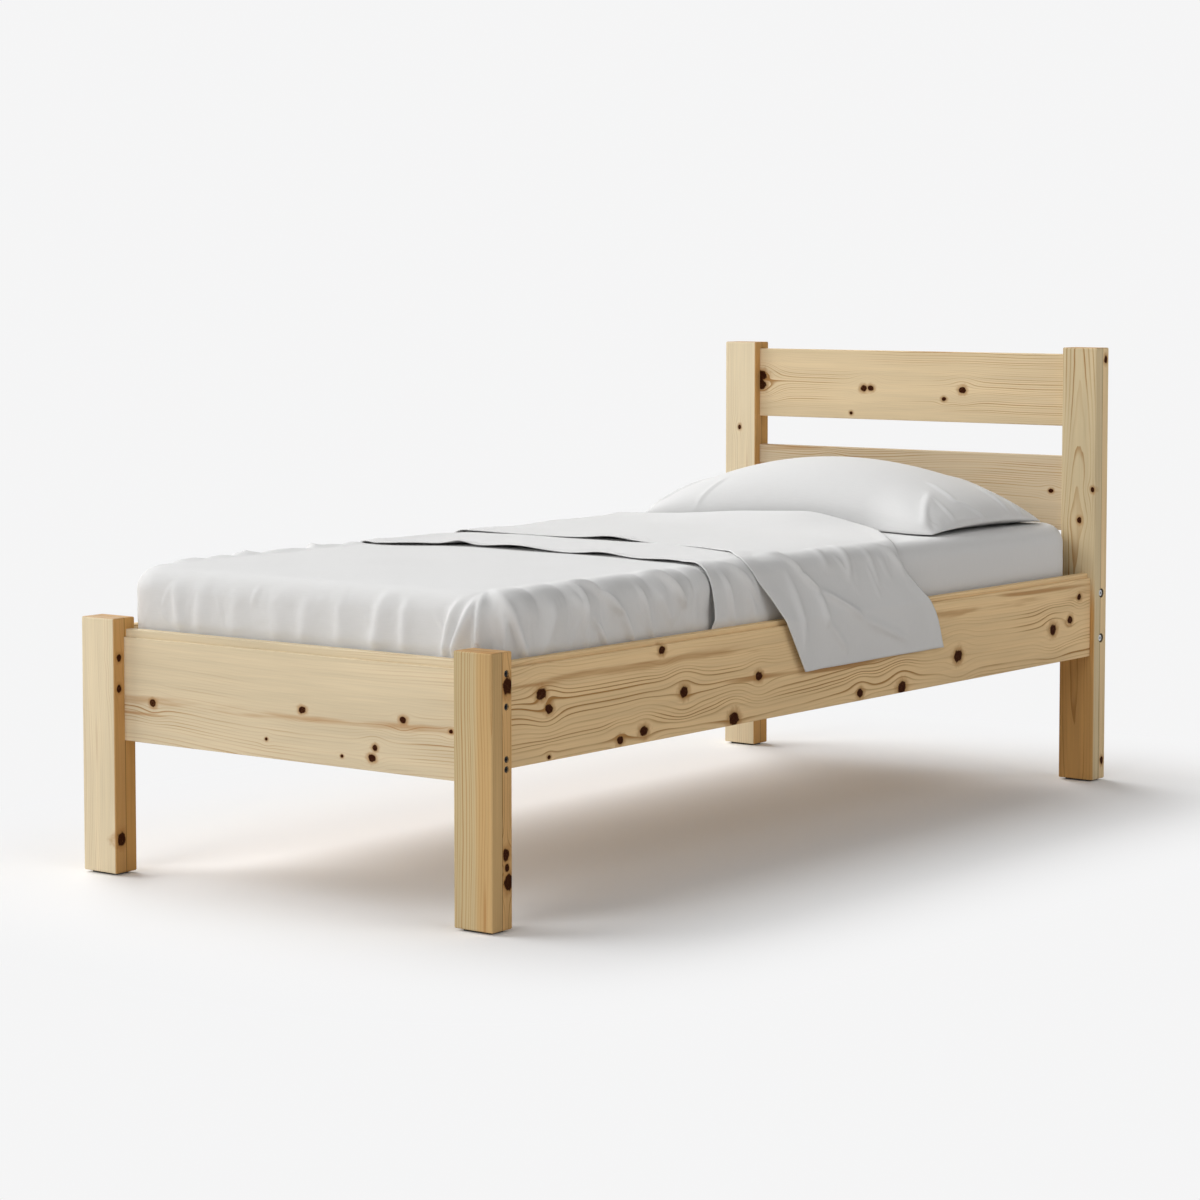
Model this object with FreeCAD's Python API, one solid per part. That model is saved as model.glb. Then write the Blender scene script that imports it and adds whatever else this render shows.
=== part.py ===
import FreeCAD, Part
import math
import os

from FreeCAD import Vector

# A single bed of knotty pine with its mattress, bedding and pillow, in millimetres.
# Origin on the floor at the middle of the bed, +Y towards the head, +X to the right, +Z up.

# Mattress
mattress_width = 890.0
mattress_length = 1990.0
mattress_height = 200.0
mattress_corner_radius = 80.0
mattress_edge_radius = 40.0
mattress_base_radius = 12.0

# Cloth layers on the mattress: fitted sheet, blanket, top sheet and cover, from the inside out
cloth_thickness = 1.5
cloth_gap = 0.3
fitted_layer = 0
blanket_layer = 1
top_sheet_layer = 2
cover_layer = 3
tuck_depth = 50.0
tuck_side_clearance = 0.8
tuck_end_clearance = 1.8
fitted_hem_rise = 8.0

# Posts, each of two plies
post_width = 84.0
ply_thickness = 27.0
foot_post_rise = 21.0
head_post_rise = 15.0
post_edge_radius = 3.0
board_edge_radius = 2.0

# Side rails
rail_thickness = 25.0
rail_inset = 10.0
rail_height = 180.0
rail_top = 455.0
rail_lip_height = 10.0
rail_lip_setback = 8.0

# Footboard
footboard_thickness = 26.0
footboard_setback = 26.0
footboard_height = 206.0
footboard_lip_height = 14.0
footboard_lip_setback = 5.0

# Headboard
headboard_thickness = 24.0
headboard_setback = 19.0
headboard_base_gap = 89.0
headboard_lower_height = 162.0
headboard_gap = 66.0
headboard_top_height = 156.0
tenon_length = 25.0
tenon_thickness = 12.0
tenon_shoulder = 15.0
tenon_end_gap = 1.0

# Slat base
mattress_sink = 92.0
ledger_width = 30.0
ledger_height = 40.0
ledger_end_gap = 6.0
slat_count = 14
slat_width = 70.0
slat_thickness = 18.0
slat_end_gap = 2.0
slat_margin = 30.0

# Glides and their nails
glide_height = 4.0
glide_margin_x = 11.0
glide_margin_y = 9.0
glide_corner_radius = 5.0
nail_radius = 1.5
nail_head_radius = 4.0
nail_head_height = 1.5
nail_length = 20.0
nail_recess = 1.0

# Bolts, barrel nuts and dowels
fastener_clearance = 0.15
foot_bolt_radius = 3.0
foot_bolt_head_radius = 5.2
foot_bolt_head_height = 6.0
foot_bore_radius = 6.2
foot_bore_depth = 8.0
foot_bolt_drops = (16.0, 72.0, 161.0, 178.0)
foot_nut_radius = 5.0
foot_nut_length = 12.0
foot_nut_distance = 35.0
head_bolt_radius = 4.0
head_bolt_head_radius = 6.5
head_bolt_head_height = 8.0
head_bore_radius = 10.0
head_bore_depth = 10.0
head_bolt_drops = (44.0, 142.0)
head_nut_radius = 7.0
head_nut_length = 16.0
head_nut_distance = 40.0
bolt_run_out = 2.0
socket_share = 0.5
dowel_radius = 5.0
dowel_reach = 25.0
dowel_end_gap = 1.0
foot_dowel_drops = (44.0, 116.0)
head_dowel_drops = (93.0,)

# Hook plates in the rail ends and catch plates in the posts
plate_width = 18.0
plate_height = 140.0
plate_thickness = 3.0
plate_clearance = 0.2
hook_width = 5.0
hook_neck_height = 12.0
hook_drop = 10.0
hook_lip = 4.0
hook_play = 0.4
hook_below_middle = 42.0
hook_above_middle = 18.0
slot_side_play = 0.75
slot_head_room = 2.0
cavity_room = 1.6
plate_screw_reach = 62.0
plate_screw_offset = 5.0
plate_screw_radius = 1.75
plate_screw_head_radius = 3.5
plate_screw_head_height = 2.2
plate_screw_length = 30.0

# Screws in the slats and ledgers
wood_screw_radius = 2.0
wood_screw_head_radius = 4.0
wood_screw_head_height = 2.6
slat_screw_length = 40.0
ledger_screw_length = 46.0
ledger_screw_count = 7
ledger_screw_rise = 12.0
ledger_screw_margin = 110.0

# Blanket over the foot half of the bed, tucked in on three sides; it runs on under the top sheet
blanket_overlap = 191.0
fold_height = 4.5
fold_root = 0.7
fold_foot_width = 74.0
fold_top_width = 34.0
fold_top_height = 1.2
fold_hem_gap = 3.0
side_fold_count = 4
side_fold_foot_margin = 115.0
side_fold_sheet_margin = 199.0
foot_fold_count = 6

# Top sheet: how far it shows past the cover's left foot edge
# The pairs give a place measured in from the mattress's right side, and how far the sheet shows there
top_sheet_overlap = 195.0
top_sheet_left_show = 266.0
top_sheet_shows = ((695.0, 255.0), (445.0, 217.0), (205.0, 217.0), (95.0, 255.0), (-55.0, 355.0))

# Turned-down cover: its edges in plan, measured from the pillow
# Its flap hangs outside the right rail
cover_pillow_gap = 22.0
cover_length = 535.0
cover_head_dip = 20.0
cover_head_dip_inset = 295.0
cover_head_slant = 255.0
cover_foot_dip = 20.0
cover_foot_dip_inset = 245.0
cover_foot_slant = 195.0
flap_gap = 1.0
flap_knee_drop = 7.0
flap_foot_lean = 119.0
flap_foot_drop = 102.0
flap_head_lean = 148.0
flap_head_drop = 85.0
flap_trim = 1.0
flap_fold_count = 3
flap_fold_margin = 115.0
flap_fold_width = 90.0

# Pillow in its case
pillow_width = 800.0
pillow_depth = 420.0
pillow_height = 140.0
pillow_shift_x = 10.0
pillow_head_gap = 63.0
pillow_side_draw = 16.0
pillow_rim_lift = 9.0
pillow_end_height = 10.0
case_thickness = 1.5
case_gap = 0.3


def layer_inside(layer):
    """How far a cloth layer's inner face lies outside the mattress."""
    return cloth_gap + layer * (cloth_gap + cloth_thickness)


def layer_outside(layer):
    """How far a cloth layer's outer face lies outside the mattress."""
    return layer_inside(layer) + cloth_thickness


# Places that follow from the sizes above
post_depth = 2 * ply_thickness
opening_width = mattress_width + 2 * (layer_outside(cover_layer) + tuck_side_clearance)
opening_length = mattress_length + 2 * (layer_outside(cover_layer) + tuck_end_clearance)
bed_width = opening_width + 2 * (rail_thickness + rail_inset)
bed_length = opening_length + 2 * post_depth
half_width = bed_width / 2
half_length = bed_length / 2
inner_post_x = half_width - post_width
rail_outer_x = half_width - rail_inset
rail_inner_x = rail_outer_x - rail_thickness
rail_middle_x = (rail_outer_x + rail_inner_x) / 2
rail_end_y = opening_length / 2
rail_bottom = rail_top - rail_height
foot_post_top = rail_top + foot_post_rise
footboard_front_y = -half_length + footboard_setback
footboard_back_y = footboard_front_y + footboard_thickness
footboard_middle_y = (footboard_front_y + footboard_back_y) / 2
headboard_front_y = rail_end_y + headboard_setback
headboard_back_y = headboard_front_y + headboard_thickness
headboard_middle_y = (headboard_front_y + headboard_back_y) / 2
lower_board_bottom = rail_top + headboard_base_gap
lower_board_top = lower_board_bottom + headboard_lower_height
top_board_bottom = lower_board_top + headboard_gap
top_board_top = top_board_bottom + headboard_top_height
head_post_top = top_board_top + head_post_rise
slat_top = rail_top - mattress_sink
ledger_top = slat_top - slat_thickness
ledger_bottom = ledger_top - ledger_height
mattress_top = slat_top + mattress_height
tuck_z = rail_top - tuck_depth
plate_middle_z = (rail_top + rail_bottom) / 2
hook_levels = (-hook_below_middle, hook_above_middle)
plate_screw_levels = (-plate_screw_reach, -plate_screw_offset, plate_screw_reach)
half_mattress = mattress_width / 2
pillow_front = mattress_length / 2 - pillow_head_gap - pillow_depth
cover_head_left = pillow_front - cover_pillow_gap
cover_head_right = cover_head_left - cover_head_slant
cover_foot_left = cover_head_left - cover_length
cover_foot_right = cover_foot_left - cover_foot_slant
flap_foot_corner = (cover_foot_right + flap_foot_lean, rail_top - flap_foot_drop)
flap_head_corner = (cover_head_right + flap_head_lean, rail_top - flap_head_drop)
top_sheet_head_edge = cover_foot_left + top_sheet_overlap
top_sheet_foot_left = cover_foot_left - top_sheet_left_show
blanket_head_edge = top_sheet_foot_left + blanket_overlap
far = 2 * bed_length

LEFT = -1
RIGHT = 1
FOOT = -1
HEAD = 1
SIDE_NAMES = {LEFT: "left", RIGHT: "right"}
END_NAMES = {FOOT: "foot", HEAD: "head"}
CORNERS = [(end, side) for end in (FOOT, HEAD) for side in (LEFT, RIGHT)]


def box_between(low, high):
    """A box given by two opposite corners in any order."""
    corner = Vector(*[min(a, b) for a, b in zip(low, high)])
    size = [abs(b - a) for a, b in zip(low, high)]
    return Part.makeBox(size[0], size[1], size[2], corner)


def placed(shape, position, direction):
    """Turn a shape made along +Z to a direction and move it to a position."""
    turned = shape.copy()
    turned.Placement = FreeCAD.Placement(position, FreeCAD.Rotation(Vector(0, 0, 1), direction))
    return turned


def evenly(first, last, count):
    """Evenly spaced places from first to last."""
    return [first + (last - first) * index / (count - 1) for index in range(count)]


def edges_along(shape, axis):
    """The straight edges of a shape that run along one axis (0, 1 or 2)."""
    found = []
    for edge in shape.Edges:
        if len(edge.Vertexes) != 2:
            continue
        run = edge.Vertexes[1].Point - edge.Vertexes[0].Point
        if abs(abs(run[axis]) - run.Length) < 1e-6 and abs(edge.Length - run.Length) < 1e-6:
            found.append(edge)
    return found


def save(name, shapes):
    """Write one node, which may be a group of separate solids."""
    shape = shapes if isinstance(shapes, Part.Shape) else Part.makeCompound(shapes)
    shape.exportStep("parts/" + name + ".step")


# Fasteners, made along +Z from the face that the head seats on

def socket_bolt(radius, head_radius, head_height, length):
    """A bolt with a round head and a six-sided socket; the shank runs along +Z from the seat."""
    head = Part.makeCylinder(head_radius, head_height, Vector(0, 0, -head_height))
    shank = Part.makeCylinder(radius, length)
    corners = [60 * turn for turn in range(7)]
    key = socket_share * head_radius
    hexagon = [Vector(key * math.cos(math.radians(a)), key * math.sin(math.radians(a)), 0) for a in corners]
    socket = Part.Face(Part.makePolygon(hexagon)).extrude(Vector(0, 0, socket_share * head_height))
    socket.translate(Vector(0, 0, -head_height))
    return head.fuse(shank).removeSplitter().cut(socket)


def bolt_hole(radius, length, bore_radius, bore_depth):
    """The counterbore and clearance hole for a socket bolt."""
    bore = Part.makeCylinder(bore_radius, bore_depth, Vector(0, 0, -bore_depth))
    shank = Part.makeCylinder(radius + fastener_clearance, length + bolt_run_out)
    return bore.fuse(shank).removeSplitter()


def flat_screw(radius, head_radius, head_height, length, room=0.0):
    """A screw with a sunk flat head whose top is at z = 0; room widens it into its hole."""
    head = Part.makeCone(head_radius + room, radius + room, head_height)
    shank = Part.makeCylinder(radius + room, length + room)
    return head.fuse(shank).removeSplitter()


def plate_screw(room=0.0):
    return flat_screw(plate_screw_radius, plate_screw_head_radius, plate_screw_head_height,
                      plate_screw_length, room)


def wood_screw(length, room=0.0):
    return flat_screw(wood_screw_radius, wood_screw_head_radius, wood_screw_head_height, length, room)


# Where the bolts, nuts and dowels go

def foot_bolt_length():
    return post_width - foot_bore_depth + foot_nut_distance + foot_nut_radius + bolt_run_out


def head_bolt_length():
    return post_width - head_bore_depth + head_nut_distance + head_nut_radius + bolt_run_out


def foot_bolt_seats(side):
    x = side * (half_width - foot_bore_depth)
    return [Vector(x, footboard_middle_y, rail_top - drop) for drop in foot_bolt_drops]


def head_bolt_seats(side):
    x = side * (half_width - head_bore_depth)
    return [Vector(x, headboard_middle_y, rail_top - drop) for drop in head_bolt_drops]


def bolts_and_holes(end, side):
    """The bolts through one post and the holes that they need."""
    inward = Vector(-side, 0, 0)
    if end == FOOT:
        bolt = socket_bolt(foot_bolt_radius, foot_bolt_head_radius, foot_bolt_head_height, foot_bolt_length())
        hole = bolt_hole(foot_bolt_radius, foot_bolt_length(), foot_bore_radius, foot_bore_depth)
        seats = foot_bolt_seats(side)
    else:
        bolt = socket_bolt(head_bolt_radius, head_bolt_head_radius, head_bolt_head_height, head_bolt_length())
        hole = bolt_hole(head_bolt_radius, head_bolt_length(), head_bore_radius, head_bore_depth)
        seats = head_bolt_seats(side)
    bolts = [placed(bolt, seat, inward) for seat in seats]
    holes = [placed(hole, seat, inward) for seat in seats]
    return bolts, holes


def barrel_nuts_and_bores(end, side):
    """The cross nuts that the bolts pass through, and their bores from the board's back face."""
    if end == FOOT:
        radius, length, distance = foot_nut_radius, foot_nut_length, foot_nut_distance
        shank, seats, back_y, inward = foot_bolt_radius, foot_bolt_seats(side), footboard_back_y, FOOT
    else:
        radius, length, distance = head_nut_radius, head_nut_length, head_nut_distance
        shank, seats, back_y, inward = head_bolt_radius, head_bolt_seats(side), headboard_back_y, FOOT
    nuts = []
    bores = []
    for seat in seats:
        x = side * (inner_post_x - distance)
        near = Vector(x, seat.y - inward * length / 2, seat.z)
        nut = placed(Part.makeCylinder(radius, length), near, Vector(0, inward, 0))
        thread = Part.makeCylinder(shank + fastener_clearance, 4 * radius)
        nuts.append(nut.cut(placed(thread, Vector(x + 2 * radius, seat.y, seat.z), Vector(-1, 0, 0))))
        bore_length = abs(seat.y + inward * length / 2 - back_y) + fastener_clearance
        bore = Part.makeCylinder(radius + fastener_clearance, bore_length)
        bores.append(placed(bore, Vector(x, back_y, seat.z), Vector(0, inward, 0)))
    return nuts, bores


def dowels_and_holes(end, side):
    """The dowels across the joint of a board and a post, and their holes."""
    y = footboard_middle_y if end == FOOT else headboard_middle_y
    drops = foot_dowel_drops if end == FOOT else head_dowel_drops
    dowels = []
    holes = []
    for drop in drops:
        start = Vector(side * inner_post_x - dowel_reach, y, rail_top - drop)
        dowels.append(placed(Part.makeCylinder(dowel_radius, 2 * dowel_reach), start, Vector(1, 0, 0)))
        deep = Vector(start.x - dowel_end_gap, start.y, start.z)
        hole = Part.makeCylinder(dowel_radius + fastener_clearance, 2 * (dowel_reach + dowel_end_gap))
        holes.append(placed(hole, deep, Vector(1, 0, 0)))
    return dowels, holes


# Knock-down fittings between the rails and the posts

def plate_block(side, low_y, high_y, room):
    """A block with a plate's outline, from one Y to another."""
    x = side * rail_middle_x
    half_across = plate_width / 2 + room
    half_tall = plate_height / 2 + room
    low = (x - half_across, low_y, plate_middle_z - half_tall)
    high = (x + half_across, high_y, plate_middle_z + half_tall)
    return box_between(low, high)


def hook_block(end, side, level, near, away, low, high, half_across):
    """A block in the hook's plane; near and away are measured from the joint face into the post."""
    x = side * rail_middle_x
    face = end * rail_end_y
    corner = (x - half_across, face + end * near, plate_middle_z + level + low)
    other = (x + half_across, face + end * away, plate_middle_z + level + high)
    return box_between(corner, other)


def screws_for_plate(end, side, direction, room=0.0):
    face = end * rail_end_y
    seats = [Vector(side * rail_middle_x, face, plate_middle_z + level) for level in plate_screw_levels]
    return [placed(plate_screw(room), seat, Vector(0, direction, 0)) for seat in seats]


def hook_plate(end, side):
    """A plate flush in the rail's end, with two hooks that drop behind the catch plate."""
    face = end * rail_end_y
    plate = plate_block(side, face, face - end * plate_thickness, 0.0)
    lip_near = plate_thickness + hook_play
    for level in hook_levels:
        neck = hook_block(end, side, level, 0.0, lip_near + hook_lip, 0.0, hook_neck_height, hook_width / 2)
        lip = hook_block(end, side, level, lip_near, lip_near + hook_lip, -hook_drop, 0.0, hook_width / 2)
        plate = plate.fuse([neck, lip])
    for hole in screws_for_plate(end, side, -end, fastener_clearance):
        plate = plate.cut(hole)
    return plate.removeSplitter()


def hook_plate_pocket(end, side):
    """The recess in the rail's end for the hook plate and its screws."""
    face = end * rail_end_y
    pocket = plate_block(side, face, face - end * plate_thickness, plate_clearance)
    return [pocket] + screws_for_plate(end, side, -end, fastener_clearance)


def catch_plate(end, side):
    """A plate flush in the post with two slots that the hooks drop into."""
    face = end * rail_end_y
    plate = plate_block(side, face, face + end * plate_thickness, 0.0)
    slot_height = hook_neck_height + hook_drop + slot_head_room
    for level in hook_levels:
        half_across = hook_width / 2 + slot_side_play
        plate = plate.cut(hook_block(end, side, level, 0.0, plate_thickness, 0.0, slot_height, half_across))
    for hole in screws_for_plate(end, side, end, fastener_clearance):
        plate = plate.cut(hole)
    return plate


def catch_plate_pocket(end, side):
    """The recess in the post for the catch plate, the cavities behind its slots and its screw holes."""
    face = end * rail_end_y
    cutters = [plate_block(side, face, face + end * plate_thickness, plate_clearance)]
    deep = plate_thickness + hook_play + hook_lip + cavity_room
    high = hook_neck_height + hook_drop + slot_head_room
    for level in hook_levels:
        cutters.append(hook_block(end, side, level, 0.0, deep, -hook_drop - cavity_room, high,
                                  hook_width / 2 + slot_side_play))
    return cutters + screws_for_plate(end, side, end, fastener_clearance)


# Posts

def tenon(side, bottom, top, room):
    """The stub tenon at one end of a headboard board; room turns it into the mortise."""
    root = side * inner_post_x
    tip = side * (inner_post_x + tenon_length + (tenon_end_gap if room else 0.0))
    half_thick = tenon_thickness / 2 + room
    low = (root, headboard_middle_y - half_thick, bottom + tenon_shoulder - room)
    high = (tip, headboard_middle_y + half_thick, top - tenon_shoulder + room)
    return box_between(low, high)


def glide_nail_place(end, side):
    x = side * (half_width - post_width / 2)
    y = end * (half_length - post_depth / 2)
    return Vector(x, y, nail_recess)


def glide_nail(room=0.0):
    head = Part.makeCylinder(nail_head_radius + room, nail_head_height)
    shank = Part.makeCylinder(nail_radius + room, nail_length + room)
    return head.fuse(shank).removeSplitter()


def post(end, side):
    """A whole post with its eased edges, mortises, bores and pockets."""
    top = foot_post_top if end == FOOT else head_post_top
    low = (side * inner_post_x, end * rail_end_y, glide_height)
    high = (side * half_width, end * half_length, top)
    block = box_between(low, high)
    block = block.makeFillet(min(post_edge_radius, ply_thickness / 3), block.Edges)
    cutters = bolts_and_holes(end, side)[1] + dowels_and_holes(end, side)[1]
    cutters += catch_plate_pocket(end, side)
    cutters.append(placed(glide_nail(fastener_clearance), glide_nail_place(end, side), Vector(0, 0, 1)))
    if end == HEAD:
        cutters.append(tenon(side, top_board_bottom, top_board_top, fastener_clearance))
        cutters.append(tenon(side, lower_board_bottom, lower_board_top, fastener_clearance))
    return block.cut(cutters)


def save_posts():
    for end, side in CORNERS:
        whole = post(end, side)
        seam = end * (half_length - ply_thickness)
        outer_half = box_between((-far, seam, -far), (far, end * far, far))
        name = END_NAMES[end] + "_post_" + SIDE_NAMES[side]
        save(name + "_outer_ply", whole.common(outer_half))
        save(name + "_inner_ply", whole.cut(outer_half))


# Boards

def lipped_board(outer, inner, bottom, top, lip_height, lip_setback, start, end, along):
    """A board with a step along its top's outer edge; outer and inner are its faces across the grain."""
    inward = math.copysign(1.0, inner - outer)
    step = outer + inward * lip_setback
    corners = [(outer, bottom), (outer, top - lip_height), (step, top - lip_height), (step, top),
               (inner, top), (inner, bottom), (outer, bottom)]
    if along == 1:
        points = [Vector(across, start, z) for across, z in corners]
        run = Vector(0, end - start, 0)
    else:
        points = [Vector(start, across, z) for across, z in corners]
        run = Vector(end - start, 0, 0)
    board = Part.Face(Part.makePolygon(points)).extrude(run)
    across_axis = 1 - along
    eased = []
    for edge in edges_along(board, along):
        place = edge.Vertexes[0].Point
        in_step = abs(place[across_axis] - step) < 1e-6 and abs(place.z - (top - lip_height)) < 1e-6
        if not in_step:
            eased.append(edge)
    return board.makeFillet(min(board_edge_radius, lip_setback / 3, lip_height / 3), eased)


def save_side_rails():
    for side in (LEFT, RIGHT):
        rail = lipped_board(side * rail_outer_x, side * rail_inner_x, rail_bottom, rail_top, rail_lip_height,
                            rail_lip_setback, -rail_end_y, rail_end_y, 1)
        cutters = hook_plate_pocket(FOOT, side) + hook_plate_pocket(HEAD, side)
        cutters += ledger_screws(side, fastener_clearance)
        save("side_rail_" + SIDE_NAMES[side], rail.cut(cutters))


def save_footboard():
    board = lipped_board(footboard_front_y, footboard_back_y, rail_top - footboard_height, rail_top,
                         footboard_lip_height, footboard_lip_setback, -inner_post_x, inner_post_x, 0)
    for side in (LEFT, RIGHT):
        cutters = bolts_and_holes(FOOT, side)[1] + barrel_nuts_and_bores(FOOT, side)[1]
        cutters += dowels_and_holes(FOOT, side)[1]
        board = board.cut(cutters)
    save("footboard", board)


def plain_headboard_board(bottom, top):
    low = (-inner_post_x, headboard_front_y, bottom)
    high = (inner_post_x, headboard_back_y, top)
    board = box_between(low, high)
    return board.makeFillet(min(board_edge_radius, headboard_thickness / 4), edges_along(board, 0))


def save_headboard():
    places = {"headboard_top_board": (top_board_bottom, top_board_top),
              "headboard_lower_board": (lower_board_bottom, lower_board_top)}
    for name, (bottom, top) in places.items():
        board = plain_headboard_board(bottom, top)
        tenons = [tenon(side, bottom, top, 0.0) for side in (LEFT, RIGHT)]
        save(name, board.fuse(tenons).removeSplitter())
    base = plain_headboard_board(rail_bottom, rail_top)
    for side in (LEFT, RIGHT):
        cutters = bolts_and_holes(HEAD, side)[1] + barrel_nuts_and_bores(HEAD, side)[1]
        cutters += dowels_and_holes(HEAD, side)[1]
        base = base.cut(cutters)
    save("headboard_base_rail", base)


# Slat base

def slat_middles():
    first = -rail_end_y + slat_margin + slat_width / 2
    pitch = -2 * first / (slat_count - 1)
    return [first + pitch * index for index in range(slat_count)]


def slat_screws(middle, room=0.0):
    x = rail_inner_x - ledger_width / 2
    seats = [Vector(side * x, middle, slat_top) for side in (LEFT, RIGHT)]
    return [placed(wood_screw(slat_screw_length, room), seat, Vector(0, 0, -1)) for seat in seats]


def ledger_screws(side, room=0.0):
    """Screws through a ledger into its rail, each in the gap between two slats."""
    middles = slat_middles()
    gaps = [(a + b) / 2 for a, b in zip(middles, middles[1:])]
    usable = [y for y in gaps if abs(y) < rail_end_y - ledger_screw_margin]
    last = len(usable) - 1
    steps = max(1, min(ledger_screw_count, len(usable)) - 1)
    chosen = sorted({round(last * index / steps) for index in range(steps + 1)})
    x = side * (rail_inner_x - ledger_width)
    seats = [Vector(x, usable[index], ledger_bottom + ledger_screw_rise) for index in chosen]
    return [placed(wood_screw(ledger_screw_length, room), seat, Vector(side, 0, 0)) for seat in seats]


def save_slat_base():
    reach = rail_end_y - ledger_end_gap
    for side in (LEFT, RIGHT):
        low = (side * rail_inner_x, -reach, ledger_bottom)
        high = (side * (rail_inner_x - ledger_width), reach, ledger_top)
        ledger = box_between(low, high)
        cutters = ledger_screws(side, fastener_clearance)
        for middle in slat_middles():
            cutters += slat_screws(middle, fastener_clearance)
        save("slat_ledger_" + SIDE_NAMES[side], ledger.cut(cutters))
    half_slat = opening_width / 2 - slat_end_gap
    for index, middle in enumerate(slat_middles()):
        low = (-half_slat, middle - slat_width / 2, ledger_top)
        high = (half_slat, middle + slat_width / 2, slat_top)
        slat = box_between(low, high)
        slat = slat.makeFillet(min(board_edge_radius, slat_thickness / 4), edges_along(slat, 0))
        save("slat_%02d" % (index + 1), slat.cut(slat_screws(middle, fastener_clearance)))
    save("slat_screws", [screw for middle in slat_middles() for screw in slat_screws(middle)])
    save("ledger_screws", ledger_screws(LEFT) + ledger_screws(RIGHT))


# Fittings and feet

def save_fittings():
    for end, side in CORNERS:
        corner = END_NAMES[end] + "_" + SIDE_NAMES[side]
        save("rail_hook_plate_" + corner, hook_plate(end, side))
        save("post_catch_plate_" + corner, catch_plate(end, side))
    save("hook_plate_screws", [s for end, side in CORNERS for s in screws_for_plate(end, side, -end)])
    save("catch_plate_screws", [s for end, side in CORNERS for s in screws_for_plate(end, side, end)])
    for end, name in ((FOOT, "footboard"), (HEAD, "headboard")):
        save(name + "_bolts", [b for side in (LEFT, RIGHT) for b in bolts_and_holes(end, side)[0]])
        nuts = [nut for side in (LEFT, RIGHT) for nut in barrel_nuts_and_bores(end, side)[0]]
        save(name + "_barrel_nuts", nuts)
    save("frame_dowels", [d for end, side in CORNERS for d in dowels_and_holes(end, side)[0]])


def save_glides():
    for end, side in CORNERS:
        low = (side * (inner_post_x + glide_margin_x), end * (rail_end_y + glide_margin_y), 0)
        high = (side * (half_width - glide_margin_x), end * (half_length - glide_margin_y), glide_height)
        glide = box_between(low, high)
        glide = glide.makeFillet(glide_corner_radius, edges_along(glide, 2))
        nail_place = glide_nail_place(end, side)
        hole = placed(glide_nail(fastener_clearance), nail_place, Vector(0, 0, 1))
        below = Vector(nail_place.x, nail_place.y, 0)
        mouth = Part.makeCylinder(nail_head_radius + fastener_clearance, nail_recess, below)
        save("glide_" + END_NAMES[end] + "_" + SIDE_NAMES[side], glide.cut([hole, mouth]))
    nail_places = [glide_nail_place(end, side) for end, side in CORNERS]
    save("glide_nails", [placed(glide_nail(), place, Vector(0, 0, 1)) for place in nail_places])


# Mattress and the cloth layers that follow its shape

def mattress_block(offset):
    """The mattress's shape, grown by an offset on its sides, ends and top."""
    across = half_mattress + offset
    along = mattress_length / 2 + offset
    top = mattress_top + offset
    block = box_between((-across, -along, slat_top), (across, along, top))
    block = block.makeFillet(mattress_corner_radius + offset, edges_along(block, 2))
    rim = [edge for edge in block.Edges if all(abs(v.Point.z - top) < 1e-6 for v in edge.Vertexes)]
    return block.makeFillet(mattress_edge_radius + offset, rim)


def save_mattress():
    block = mattress_block(0.0)
    base = [edge for edge in block.Edges if all(abs(v.Point.z - slat_top) < 1e-6 for v in edge.Vertexes)]
    save("mattress", block.makeFillet(mattress_base_radius, base))


def cloth_shell(layer, hem_z):
    """One cloth layer over the whole mattress, down to its hem."""
    shell = mattress_block(layer_outside(layer)).cut(mattress_block(layer_inside(layer)))
    return shell.common(box_between((-far, -far, hem_z), (far, far, far)))


def plan_prism(points):
    """A tall prism over an outline in plan."""
    outline = [Vector(x, y, 0) for x, y in points]
    return Part.Face(Part.makePolygon(outline + outline[:1])).extrude(Vector(0, 0, far))


def fold_section(root, outward, along, width, height, z):
    """A low arch on a flat side of the cloth: a chord just under the face and one arc."""
    base = root - outward * fold_root
    start = base - along * (width / 2)
    stop = base + along * (width / 2)
    crest = root + outward * height
    level = Vector(0, 0, z)
    arc = Part.Arc(start + level, crest + level, stop + level).toShape()
    chord = Part.LineSegment(stop + level, start + level).toShape()
    return Part.Wire([arc, chord])


def hanging_fold(root, outward, along, width, low_z, high_z):
    """A fold that stands out at the hem and dies away upwards."""
    lower = fold_section(root, outward, along, width, fold_height, low_z)
    upper = fold_section(root, outward, along, fold_top_width, fold_top_height, high_z)
    return Part.makeLoft([lower, upper], True, True)


def save_blanket():
    shell = cloth_shell(blanket_layer, tuck_z)
    blanket = shell.common(box_between((-far, -far, 0), (far, blanket_head_edge, far)))
    low_z = rail_top + fold_hem_gap
    high_z = mattress_top - mattress_edge_radius
    side_x = half_mattress + layer_outside(blanket_layer)
    foot_y = -mattress_length / 2 - layer_outside(blanket_layer)
    first_y = -mattress_length / 2 + side_fold_foot_margin
    last_y = top_sheet_foot_left - side_fold_sheet_margin
    reach_x = half_mattress - mattress_corner_radius - fold_foot_width / 2
    folds = []
    for side in (LEFT, RIGHT):
        for y in evenly(first_y, last_y, side_fold_count):
            folds.append(hanging_fold(Vector(side * side_x, y, 0), Vector(side, 0, 0), Vector(0, side, 0),
                                      fold_foot_width, low_z, high_z))
    for x in evenly(-reach_x, reach_x, foot_fold_count):
        folds.append(hanging_fold(Vector(x, foot_y, 0), Vector(0, -1, 0), Vector(1, 0, 0),
                                  fold_foot_width, low_z, high_z))
    save("blanket", blanket.fuse(folds))


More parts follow.
